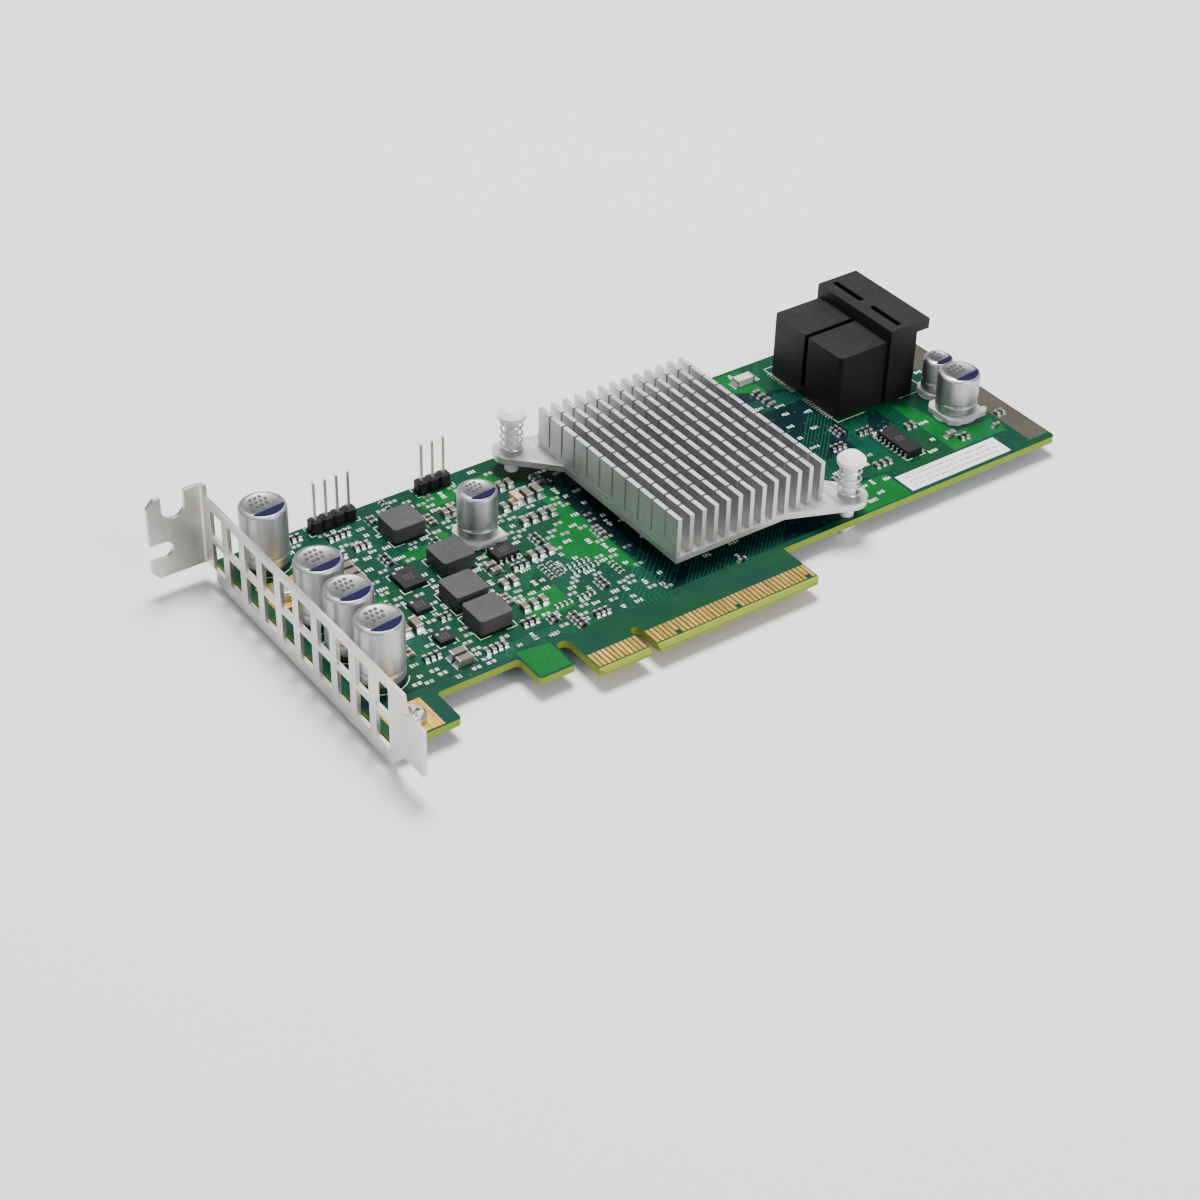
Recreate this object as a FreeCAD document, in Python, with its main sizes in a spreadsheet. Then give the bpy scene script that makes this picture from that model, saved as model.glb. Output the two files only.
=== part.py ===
"""RAID controller card: a low-profile x8 expansion card with a vented bracket.

Frame: the origin is on the board's mid-plane, at the middle of the key notch on
the tongue's lower edge. +X runs along the card, away from the bracket, +Y runs
from the tongue towards the top edge, and +Z stands up from the component side.
Lengths are in millimetres. Every driving size is a cell of the sheet "sizes".
"""

import FreeCAD, Part
import math
import os
import Sketcher
from FreeCAD import Placement, Rotation, Vector

doc = FreeCAD.newDocument("raid_controller_card")
sheet = doc.addObject("Spreadsheet::Sheet", "sizes")

SIZES = [
    # board
    ("board_thickness", 1.57, "board from face to face"),
    ("board_far_end", 111.6, "far end of the board, along X"),
    ("board_top", 68.9, "top edge of the board, along Y"),
    ("board_bracket_gap", 0.3, "gap between the board's end and the bracket"),
    ("shoulder", 11.6, "front edge of the board, above the tongue's lower edge"),
    ("board_corner", 1.0, "radius of the board's outer corners"),
    ("tongue_left", 12.15, "tongue's left end, before the key notch"),
    ("tongue_right", 39.15, "tongue's right end, past the key notch"),
    ("tongue_corner", 0.8, "corner chamfer of the tongue"),
    ("key_width", 1.9, "width of the key notch"),
    ("key_depth", 7.5, "depth of the key notch"),
    ("bevel_height", 1.2, "height of the bevel along the tongue"),
    ("bevel_depth", 0.4, "depth of the bevel on each side"),
    ("hook_right", 14.9, "right side of the hook beside the tongue"),
    ("hook_left", 22.8, "left side of the hook beside the tongue"),
    ("hook_bottom", 4.5, "lower edge of the hook"),
    ("foot_right", 40.4, "right side of the foot beside the bracket"),
    ("foot_bottom", 3.2, "lower edge of the foot beside the bracket"),
    ("hook_corner", 0.8, "corner radius of hook and foot"),
    # edge contacts
    ("contact_pitch", 1.0, "pitch of the edge contacts"),
    ("contact_width", 0.7, "width of one edge contact"),
    ("contact_bottom", 1.4, "lower end of a contact above the tongue's edge"),
    ("contact_length", 4.0, "length of a full contact"),
    ("contact_short", 2.9, "length of a presence contact"),
    ("plating", 0.06, "thickness of gold plating over the board"),
    ("contacts_left", 11, "contacts before the key notch"),
    ("contacts_right", 38, "contacts past the key notch"),
    ("contact_key_gap", 1.5, "from the notch's middle to the nearest contacts"),
    # bracket
    ("bracket_face", 55.2, "outer face of the bracket, before the notch"),
    ("sheet_metal", 0.86, "thickness of the bracket's sheet"),
    ("bracket_bottom", 3.7, "bracket's reach below the component side"),
    ("bracket_width", 18.42, "width of the bracket"),
    ("bracket_fold", 71.0, "outer face of the bracket's folded tab"),
    ("bend_radius", 0.6, "inner radius of the bracket's bends"),
    ("blade_end", 1.1, "lower end of the blade below the tongue's edge"),
    ("tail_end", 7.5, "lower end of the bracket's tail"),
    ("tail_width", 10.19, "width of the bracket's tail"),
    ("tail_top", 11.2, "upper side of the tail above the component side"),
    ("tail_corner", 4.1, "upper corner of the blade cut back beside the tail"),
    ("neck_start", 66.5, "where the blade narrows below the fold"),
    ("neck_slope", 4.1, "length of the rounded step that narrows the blade"),
    ("tab_length", 11.4, "length of the folded tab from the outer face"),
    ("tab_low", 0.6, "tab's reach below the component side"),
    ("tab_high", 17.3, "tab's reach above the component side"),
    ("screw_slot_width", 4.8, "width of the screw slot"),
    ("screw_slot_reach", 6.0, "screw slot's middle from the outer face"),
    ("screw_slot_depth", 5.4, "depth of the screw slot"),
    ("guide_notch_width", 3.6, "width of the guide notch in the tab's end"),
    ("guide_notch_depth", 4.8, "depth of the guide notch"),
    ("guide_notch_centre", 5.4, "guide notch's middle above the component side"),
    ("prong_chamfer", 1.6, "chamfer of the tab's corners"),
    ("window_pitch", 6.6, "pitch of the vent windows"),
    ("window_width", 4.4, "width of a vent window"),
    ("window_height", 6.1, "height of a vent window"),
    ("window_first", 67.3, "upper edge of the first vent window"),
    ("window_low", 0.5, "lower row's reach below the component side"),
    ("window_bar", 1.3, "bar between the two rows of windows"),
    ("windows", 10, "vent windows in one row"),
    # bracket ears and screws
    ("ear_reach", 10.6, "length of an ear from the bracket's outer face"),
    ("ear_width", 7.0, "width of an ear"),
    ("ear_low", 7.9, "middle of the lower ear along Y"),
    ("ear_spacing", 44.45, "spacing of the two ears"),
    ("ear_corner", 2.33, "corner radius of an ear"),
    ("screw_reach", 7.2, "screw's middle from the bracket's outer face"),
    ("screw_radius", 1.5, "radius of a bracket screw's shank"),
    ("screw_head_radius", 2.75, "radius of a bracket screw's head"),
    ("screw_head_height", 1.7, "height of a bracket screw's head"),
    ("screw_tip", 0.6, "screw's reach past the ear"),
    ("screw_crown", 0.57, "bevel round the top of a screw's head"),
    ("recess_size", 0.9, "width of the driver recess"),
    ("recess_length", 3.4, "length of the driver recess"),
    ("recess_depth", 1.0, "depth of the driver recess"),
    ("ground_pad", 8.6, "side of a gold ground pad"),
    ("clearance", 0.15, "clearance of a part in its hole"),
    ("overcut", 0.5, "reach of a cut past the faces it goes through"),
    ("flat_left", 0.02, "flat left between the two roundings of a slot's end"),
    # heatsink
    ("sink_x", 33.8, "heatsink's middle along X"),
    ("sink_y", 38.9, "heatsink's middle along Y"),
    ("sink_length", 35.8, "heatsink's size along X"),
    ("sink_width", 46.6, "heatsink's size along Y"),
    ("sink_seat", 3.2, "heatsink's underside above the component side"),
    ("sink_base", 1.5, "thickness of the heatsink's base and ears"),
    ("sink_top", 13.4, "fin tops above the component side"),
    ("fins_x", 13, "rows of fins along X"),
    ("fins_y", 11, "fins in one row along Y"),
    ("fin_thickness", 1.0, "thickness of a fin"),
    ("fin_slot", 0.5, "width of a cross cut"),
    ("cross_cut_floor", 1.2, "cross cut's floor above the base"),
    ("pin_reach_x", 23.2, "push pins' distance from the middle along X"),
    ("pin_reach_y", 24.9, "push pins' distance from the middle along Y"),
    ("sink_ear_radius", 3.9, "radius of an ear's round end"),
    # push pins
    ("pin_radius", 1.45, "radius of a push pin's shank"),
    ("pin_hole_radius", 1.55, "radius of the hole for a push pin"),
    ("pin_head_radius", 2.9, "radius of a push pin's head"),
    ("pin_head_height", 1.9, "height of a push pin's head"),
    ("pin_top", 14.2, "top of a push pin above the component side"),
    ("pin_barb_radius", 2.0, "radius of a push pin's barb"),
    ("pin_barb_length", 2.6, "length of a push pin's barb"),
    ("pin_split", 0.7, "width of the split through the barb"),
    ("pin_travel", 0.35, "barb's gap below the board"),
    ("spring_wire", 0.5, "diameter of the spring's wire"),
    ("spring_radius", 2.15, "mean radius of the spring"),
    ("spring_turns", 4, "turns of the spring"),
    ("runs_per_turn", 10, "straight runs in one turn of the spring"),
    # controller
    ("package_side", 27.0, "side of the controller's package"),
    ("package_height", 1.3, "height of the controller's package"),
    ("die_side", 14.0, "side of the controller's die"),
    ("die_height", 0.9, "height of the controller's die"),
    # internal connector
    ("socket_left", 77.3, "rear of the connector along X"),
    ("socket_front", 90.0, "start of the connector's front block along X"),
    ("socket_step", 97.3, "end of the connector's front block along X"),
    ("socket_face", 100.5, "mating face of the connector along X"),
    ("socket_low", 40.9, "lower side of the connector along Y"),
    ("socket_width", 24.0, "width of the connector"),
    ("tower_height", 14.4, "height of the connector's rear towers"),
    ("socket_height", 17.3, "height of the connector's front block"),
    ("tower_inset", 0.9, "towers' inset from the front block's sides"),
    ("tower_groove", 1.2, "groove between the two towers"),
    ("port_width", 9.8, "width of a port"),
    ("port_height", 9.6, "height of a port"),
    ("port_floor", 2.0, "port's floor above the component side"),
    ("port_depth", 7.0, "depth of a port"),
    ("port_pitch", 12.0, "pitch of the two ports"),
    ("latch_slot_length", 9.0, "length of a latch slot"),
    ("latch_slot_width", 1.3, "width of a latch slot"),
    ("latch_slot_x", 93.3, "middle of the latch slots along X"),
    ("brow_height", 2.4, "height of the brow over the mating face"),
    ("core_gap", 0.6, "gap around a port's core"),
    ("core_reach", 1.9, "reach of a port's core into the port"),
    ("card_slot_height", 1.2, "height of a card slot in the core"),
    ("card_slot_depth", 1.6, "depth of a card slot in the core"),
    ("card_slot_pitch", 4.2, "pitch of the two card slots"),
    ("peg_radius", 0.8, "radius of the connector's locating pegs"),
    ("port_contacts", 9, "contacts along one side of a card slot"),
    ("port_contact_pitch", 0.75, "pitch of a port's contacts"),
    ("port_contact_width", 0.3, "width of a port's contact"),
    ("tail_length", 1.3, "length of a connector's soldered tail behind its rear"),
    ("tail_sheet", 0.2, "thickness of a soldered tail"),
    ("tails", 12, "soldered tails behind one port"),
    ("parts_behind_socket", 7.8, "row of capacitors behind the connector"),
    # tall capacitors
    ("can_radius", 4.7, "radius of a tall capacitor's can"),
    ("can_top", 13.6, "top of a tall capacitor above the component side"),
    ("can_column", 46.3, "tall capacitors' column before the notch"),
    ("can_1_gap", 1.65, "gap between the first can and the upper ground pad"),
    ("can_2_gap", 1.05, "gap between the second can and the upper ground pad"),
    ("can_pitch", 10.65, "pitch of the three tall capacitors below that pad"),
    ("can_groove", 0.35, "depth of the groove rolled round a can"),
    ("seal_height", 0.9, "height of a tall capacitor's seal"),
    ("lead_radius", 0.3, "radius of a capacitor's lead"),
    ("lead_spacing", 3.5, "spacing of a capacitor's leads"),
    ("lead_length", 1.2, "leads' reach past the solder side"),
    # short capacitors
    ("base_height", 1.3, "height of a short capacitor's base"),
    ("base_margin", 0.25, "base's margin around a short capacitor's can"),
    ("base_chamfer", 1.5, "chamfer of a short capacitor's base"),
    ("short_5_x", -8.0, "fifth capacitor's middle along X"),
    ("short_5_y", 47.9, "fifth capacitor's middle along Y"),
    ("short_5_radius", 4.0, "radius of the fifth capacitor's can"),
    ("short_5_top", 11.2, "top of the fifth capacitor above the component side"),
    ("short_6_x", 100.1, "sixth capacitor's middle along X"),
    ("short_6_y", 30.0, "sixth capacitor's middle along Y"),
    ("short_6_radius", 4.4, "radius of the sixth capacitor's can"),
    ("short_6_top", 10.2, "top of the sixth capacitor above the component side"),
    ("short_7_x", 101.8, "seventh capacitor's middle along X"),
    ("short_7_y", 38.3, "seventh capacitor's middle along Y"),
    ("short_7_radius", 3.15, "radius of the seventh capacitor's can"),
    ("short_7_top", 8.8, "top of the seventh capacitor above the component side"),
    # pin headers
    ("header_pitch", 2.54, "pitch of the pin headers"),
    ("header_width", 2.5, "width of a header's base"),
    ("header_height", 2.5, "height of a header's base"),
    ("header_y", 66.9, "middle of the headers along Y"),
    ("header_pin", 0.64, "side of a header pin"),
    ("header_pin_top", 11.2, "top of the header pins above the component side"),
    ("header_4_x", 29.5, "middle of the four-pin header before the notch"),
    ("header_4_pins", 4, "pins of the longer header"),
    ("header_3_x", 6.4, "middle of the three-pin header before the notch"),
    ("header_3_pins", 3, "pins of the shorter header"),
    # inductors
    ("inductor_length", 7.3, "inductor's size along X"),
    ("inductor_width", 7.0, "inductor's size along Y"),
    ("inductor_height", 3.5, "inductor's height"),
    ("inductor_terminal", 0.25, "height of an inductor's terminals"),
    ("terminal_length", 1.8, "size of an inductor's terminal along X"),
    ("terminal_width", 4.2, "size of an inductor's terminal along Y"),
    ("inductor_corner", 0.5, "corner chamfer of an inductor"),
    # chips and small parts
    ("lead_pitch", 1.27, "pitch of a chip's gull-wing leads"),
    ("lead_width", 0.42, "width of a gull-wing lead"),
    ("lead_sheet", 0.2, "thickness of a gull-wing lead"),
    ("lead_out", 1.05, "reach of a gull-wing lead from the body"),
    ("chip_standoff", 0.12, "gap below a leaded chip's body"),
    ("end_cap", 0.35, "length of a chip part's end cap"),
    ("end_proud", 0.03, "how far an end cap stands proud of its body"),
    ("label_left", 73.3, "left end of the label"),
    ("label_length", 26.7, "length of the label"),
    ("label_low", 12.6, "lower edge of the label"),
    ("label_width", 5.6, "width of the label"),
    ("label_thickness", 0.1, "thickness of the label"),
]

for row, (alias, number, meaning) in enumerate(SIZES, start=1):
    sheet.set(f"A{row}", alias)
    sheet.set(f"B{row}", str(number))
    sheet.setAlias(f"B{row}", alias)
    sheet.set(f"C{row}", meaning)
doc.recompute()


# ---------------------------------------------------------------- size helpers

def text_of(value):
    """The expression of a size, or a plain number as text."""
    return value.text if isinstance(value, Size) else repr(float(value))


class Size(float):
    """A number that carries the spreadsheet expression it was worked out from."""

    def __new__(cls, number, text):
        size = super().__new__(cls, number)
        size.text = text
        return size

    def __add__(self, other):
        return Size(float(self) + float(other), f"({self.text} + {text_of(other)})")

    def __radd__(self, other):
        return Size(float(other) + float(self), f"({text_of(other)} + {self.text})")

    def __sub__(self, other):
        return Size(float(self) - float(other), f"({self.text} - {text_of(other)})")

    def __rsub__(self, other):
        return Size(float(other) - float(self), f"({text_of(other)} - {self.text})")

    def __mul__(self, other):
        return Size(float(self) * float(other), f"({self.text} * {text_of(other)})")

    def __rmul__(self, other):
        return Size(float(other) * float(self), f"({text_of(other)} * {self.text})")

    def __truediv__(self, other):
        return Size(float(self) / float(other), f"({self.text} / {text_of(other)})")

    def __neg__(self):
        return Size(-float(self), f"(0 - {self.text})")


def size(alias):
    """One cell of the sheet, as a Size."""
    return Size(float(sheet.get(alias)), f"sizes.{alias}")


def count(alias):
    """One cell of the sheet that counts copies."""
    return int(round(float(sheet.get(alias))))


def bind(feature, name, value):
    """Binds a property to its size, or sets it where the value is a plain number."""
    feature.setExpression(name, text_of(value))


# ---------------------------------------------------------------- model helpers

NODES = []
WIRE_SIDES = 6                      # flat sides of the spring's wire
MITRED_CORNERS = 1                  # makePipeShell's transition for sharp corners
EAR_ROOT = 2.4                      # width of a heatsink ear's root, in radii of its end
EAR_SLANT = math.radians(60)        # slant of a heatsink ear
PIN_RIM, PIN_CROWN = 0.45, 0.62     # a push pin's rim height and crown, as shares of its head
PIN_TIP = 0.6                       # a push pin's tip, as a share of its shank
CAN_GROOVE = (3.0, 3.5, 4.0)        # a can's rolled groove, in edge widths above its foot
CAN_RIM = (1.5, 1.8)                # a can's rim and the step inside it, in edge widths
LEAD_KNEE = 0.35                    # knee of a gull-wing lead, as a share of its reach
PRESENCE_FRONT = (17, 31, 48)       # contacts that are short on the component side
PRESENCE_BACK = (1,)                # and on the solder side


def keep(feature, node):
    """Names a finished sub-part and lists it for the export."""
    feature.Label = node
    NODES.append(feature)
    return feature


def new_body(name):
    return doc.addObject("PartDesign::Body", name)


def plane_of(body, role):
    for feature in body.Origin.OriginFeatures:
        if feature.Role == role:
            return feature
    raise ValueError(role)


def new_sketch(body, name, plane="XY_Plane", offset=0.0):
    """A sketch on one of the body's own planes, lifted along the plane's normal."""
    sketch = body.newObject("Sketcher::SketchObject", name)
    sketch.AttachmentSupport = (plane_of(body, plane), [""])
    sketch.MapMode = "FlatFace"
    bind(sketch, "AttachmentOffset.Base.z", offset)
    return sketch


def pin_point(sketch, line, end, x, y):
    """Fixes a point of the sketch at sizes measured from the sketch's origin."""
    for kind, value in (("DistanceX", x), ("DistanceY", y)):
        index = sketch.addConstraint(Sketcher.Constraint(kind, -1, 1, line, end, float(value)))
        bind(sketch, f"Constraints[{index}]", value)


def add_outline(sketch, points):
    """A closed outline of straight lines through points given as pairs of sizes."""
    first = sketch.GeometryCount
    ends = points[1:] + points[:1]
    for (x1, y1), (x2, y2) in zip(points, ends):
        sketch.addGeometry(Part.LineSegment(Vector(x1, y1, 0), Vector(x2, y2, 0)), False)
    for index in range(len(points)):
        following = first + (index + 1) % len(points)
        sketch.addConstraint(Sketcher.Constraint("Coincident", first + index, 2, following, 1))
    for index, (x, y) in enumerate(points):
        pin_point(sketch, first + index, 1, x, y)


def add_rectangle(sketch, left, low, right, high):
    add_outline(sketch, [(left, low), (right, low), (right, high), (left, high)])


def add_circle(sketch, x, y, radius):
    """A full circle about a point, with its radius bound to a size."""
    index = sketch.addGeometry(Part.Circle(Vector(x, y, 0), Vector(0, 0, 1), float(radius)), False)
    pin_point(sketch, index, 3, x, y)
    ring = sketch.addConstraint(Sketcher.Constraint("Radius", index, float(radius)))
    bind(sketch, f"Constraints[{ring}]", radius)


def add_pad(body, name, sketch, length, reverse=False):
    pad = body.newObject("PartDesign::Pad", name)
    pad.Profile = sketch
    bind(pad, "Length", length)
    pad.Reversed = reverse
    sketch.Visibility = False
    return pad


def add_pocket(body, name, sketch, length, reverse=False):
    """A cut that has to take material away."""
    doc.recompute()
    before = body.Shape.Volume
    pocket = body.newObject("PartDesign::Pocket", name)
    pocket.Profile = sketch
    bind(pocket, "Length", length)
    pocket.Reversed = reverse
    doc.recompute()
    if not body.Shape.Volume < before:
        raise RuntimeError(f"{name} cuts nothing")
    return pocket


def add_row(body, name, features, sketch, axis, spacing, copies):
    """Repeats features along one axis of a sketch."""
    pattern = body.newObject("PartDesign::LinearPattern", name)
    pattern.Originals = features
    pattern.Direction = (sketch, [axis])
    bind(pattern, "Length", spacing * (copies - 1))
    pattern.Occurrences = copies
    body.Tip = pattern
    return pattern


def add_turning(body, name, sketch):
    """A profile turned round the body's Z axis."""
    turning = body.newObject("PartDesign::Revolution", name)
    turning.Profile = sketch
    turning.ReferenceAxis = (sketch, ["V_Axis"])
    turning.Angle = 360
    return turning


def edges_near(feature, places, along="z"):
    """Names of straight edges that run along an axis through the given places."""
    axes = {"x": 0, "y": 1, "z": 2}
    keep_axes = [index for index in range(3) if index != axes[along]]
    found = []
    for number, edge in enumerate(feature.Shape.Edges, start=1):
        if edge.Curve.TypeId != "Part::GeomLine" or len(edge.Vertexes) < 2:
            continue
        start, end = edge.Vertexes[0].Point, edge.Vertexes[-1].Point
        if any(abs(start[index] - end[index]) > 1e-6 for index in keep_axes):
            continue
        place = [start[index] for index in keep_axes]
        if any(max(abs(place[i] - float(spot[i])) for i in (0, 1)) < 1e-4 for spot in places):
            found.append(f"Edge{number}")
    if len(found) < len(places):
        raise RuntimeError(f"{feature.Name}: {len(found)} of {len(places)} edges found")
    return found


def add_round(body, name, feature, places, radius, along="z"):
    """Rounds the edges that run along an axis through the given places."""
    doc.recompute()
    rounding = body.newObject("PartDesign::Fillet", name)
    rounding.Base = (feature, edges_near(feature, places, along))
    bind(rounding, "Radius", radius)
    return rounding


def add_chamfer(body, name, feature, places, reach, along="z"):
    """Chamfers the edges that run along an axis through the given places."""
    doc.recompute()
    chamfer = body.newObject("PartDesign::Chamfer", name)
    chamfer.Base = (feature, edges_near(feature, places, along))
    bind(chamfer, "Size", reach)
    return chamfer


def add_box(name, node, low, spans):
    """A Part box with every side and its corner bound to sizes."""
    box = doc.addObject("Part::Box", name)
    for side, value in zip(("Length", "Width", "Height"), spans):
        bind(box, side, value)
    for axis, value in zip("xyz", low):
        bind(box, f"Placement.Base.{axis}", value)
    return keep(box, node) if node else box


def add_group(name, node, solids):
    """A node of separate solids that are all alike."""
    group = doc.addObject("Part::Feature", name)
    group.Shape = Part.makeCompound(solids)
    group.Placement = Placement()
    return keep(group, node)


def block(centre_x, centre_y, low, span_x, span_y, height):
    """A plain block, centred in plan and standing on a level."""
    corner = Vector(centre_x - span_x / 2, centre_y - span_y / 2, low)
    return Part.makeBox(span_x, span_y, height, corner)


# ---------------------------------------------------------------- shared levels

face = size("board_thickness") / 2          # component side
back = -face                                # solder side
board_left = size("sheet_metal") + size("board_bracket_gap") - size("bracket_face")
pin_places = {
    "left": (size("sink_x") - size("pin_reach_x"), size("sink_y") + size("pin_reach_y")),
    "right": (size("sink_x") + size("pin_reach_x"), size("sink_y") - size("pin_reach_y")),
}
screw_x = size("screw_reach") - size("bracket_face")
screw_places = [(screw_x, size("ear_low")), (screw_x, size("ear_low") + size("ear_spacing"))]
pad_reach = size("ground_pad") / 2 + size("can_radius")
can_1_y = screw_places[1][1] + pad_reach + size("can_1_gap")
can_2_y = screw_places[1][1] - pad_reach - size("can_2_gap")
tall_can_rows = [can_1_y] + [can_2_y - size("can_pitch") * step for step in range(3)]
tall_cans = [(-size("can_column"), y) for y in tall_can_rows]
short_cans = {
    number: tuple(size(f"short_{number}_{kind}") for kind in ("x", "y", "radius", "top"))
    for number in (5, 6, 7)
}
header_pitch = size("header_pitch")
headers = {
    "four_pin": (-size("header_4_x"), count("header_4_pins")),
    "three_pin": (-size("header_3_x"), count("header_3_pins")),
}
socket_middle = size("socket_low") + size("socket_width") / 2
ports = {
    "low": socket_middle - size("port_pitch") / 2,
    "high": socket_middle + size("port_pitch") / 2,
}
overcut = size("overcut")


def header_pin_places(middle, pins):
    first = middle - header_pitch * (pins - 1) / 2
    return [(first + header_pitch * index, size("header_y")) for index in range(pins)]


def lead_places():
    """Where the tall capacitors' leads go through the board."""
    reach = size("lead_spacing") / 2
    return [(x, y + side * reach) for x, y in tall_cans for side in (-1, 1)]


# ---------------------------------------------------------------- circuit board

def make_board():
    body = new_body("Board")
    tongue_low, tongue_high = -size("tongue_left"), size("tongue_right")
    key = size("key_width") / 2
    cut = size("tongue_corner")
    shoulder, far_end, top = size("shoulder"), size("board_far_end"), size("board_top")
    foot, hook_low, hook_high = -size("foot_right"), -size("hook_left"), -size("hook_right")
    sketch = new_sketch(body, "BoardOutline", offset=back)
    add_outline(sketch, [
        (board_left, size("foot_bottom")), (foot, size("foot_bottom")), (foot, shoulder),
        (hook_low, shoulder), (hook_low, size("hook_bottom")), (hook_high, size("hook_bottom")),
        (hook_high, shoulder), (tongue_low, shoulder), (tongue_low, cut),
        (tongue_low + cut, 0.0), (-key, 0.0), (-key, size("key_depth")), (key, size("key_depth")),
        (key, 0.0), (tongue_high - cut, 0.0), (tongue_high, cut), (tongue_high, shoulder),
        (far_end, shoulder), (far_end, top), (board_left, top),
    ])
    board = add_pad(body, "BoardSheet", sketch, size("board_thickness"))

    slot_round = (size("hook_right") - size("tongue_left") - size("flat_left")) / 2
    board = add_round(body, "HookSlot", board,
                      [(hook_high, shoulder), (tongue_low, shoulder)], slot_round)
    board = add_round(body, "KeyEnd", board, [(-key, size("key_depth")), (key, size("key_depth"))],
                      (size("key_width") - size("flat_left")) / 2)
    board = add_round(body, "OuterCorners", board, [(far_end, shoulder), (far_end, top)],
                      size("board_corner"))
    board = add_round(body, "HookCorners", board,
                      [(hook_low, size("hook_bottom")), (hook_high, size("hook_bottom")),
                       (foot, size("foot_bottom")), (foot, shoulder), (hook_low, shoulder)],
                      size("hook_corner"))

    bevel = new_sketch(body, "BevelProfile", plane="YZ_Plane", offset=tongue_high + overcut)
    rise, depth = size("bevel_height"), size("bevel_depth")
    for side in (1, -1):
        add_outline(bevel, [(-overcut, side * (face + overcut)),
                            (rise, side * (face + overcut)), (rise, side * face),
                            (0.0, side * (face - depth)),
                            (-overcut, side * (face - depth))])
    add_pocket(body, "Bevel", bevel, tongue_high - tongue_low + 2 * overcut)

    holes = new_sketch(body, "HolePlan", offset=face)
    for x, y in pin_places.values():
        add_circle(holes, x, y, size("pin_hole_radius"))
    for x, y in screw_places:
        add_circle(holes, x, y, size("screw_radius") + size("clearance"))
    for x, y in lead_places():
        add_circle(holes, x, y, size("lead_radius") + size("clearance"))
    for middle, pins in headers.values():
        for x, y in header_pin_places(middle, pins):
            add_circle(holes, x, y, size("header_pin") * 0.5 + 2 * size("clearance"))
    for x, y in peg_places():
        add_circle(holes, x, y, size("peg_radius") + size("clearance"))
    add_pocket(body, "Holes", holes, size("board_thickness"))
    keep(body, "circuit_board")


def peg_places():
    """The connector's locating pegs: two at the rear and two below the ports."""
    reach = size("port_pitch") / 2
    rear = size("socket_left") + 3 * size("peg_radius")
    front = size("socket_step") - 2 * size("peg_radius")
    return [(x, socket_middle + side * reach) for x in (rear, front) for side in (-1, 1)]


# ---------------------------------------------------------------- gold plating

def contact_columns():
    """Middles of the contacts along X, numbered from the bracket's end."""
    pitch, gap = size("contact_pitch"), size("contact_key_gap")
    left = [-gap - pitch * step for step in range(count("contacts_left"))]
    right = [gap + pitch * step for step in range(count("contacts_right"))]
    return left[::-1] + right


def make_contacts(name, node, low, short_numbers):
    """One side's row of contacts, with its short presence contacts."""
    solids = []
    bottom, full = size("contact_bottom"), size("contact_length")
    for number, x in enumerate(contact_columns(), start=1):
        length = size("contact_short") if number in short_numbers else full
        middle = bottom + full - length / 2
        solids.append(block(x, middle, low, size("contact_width"), length, size("plating")))
    add_group(name, node, solids)


def make_ground_pads():
    solids = []
    for x, y in screw_places:
        pad = block(x, y, face, size("ground_pad"), size("ground_pad"), size("plating"))
        hole = Part.makeCylinder(size("screw_radius") + size("clearance"), size("plating"),
                                 Vector(x, y, face))
        solids.append(pad.cut(hole).Solids[0])
    add_group("GroundPads", "ground_pads", solids)


# ---------------------------------------------------------------- bracket

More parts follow.
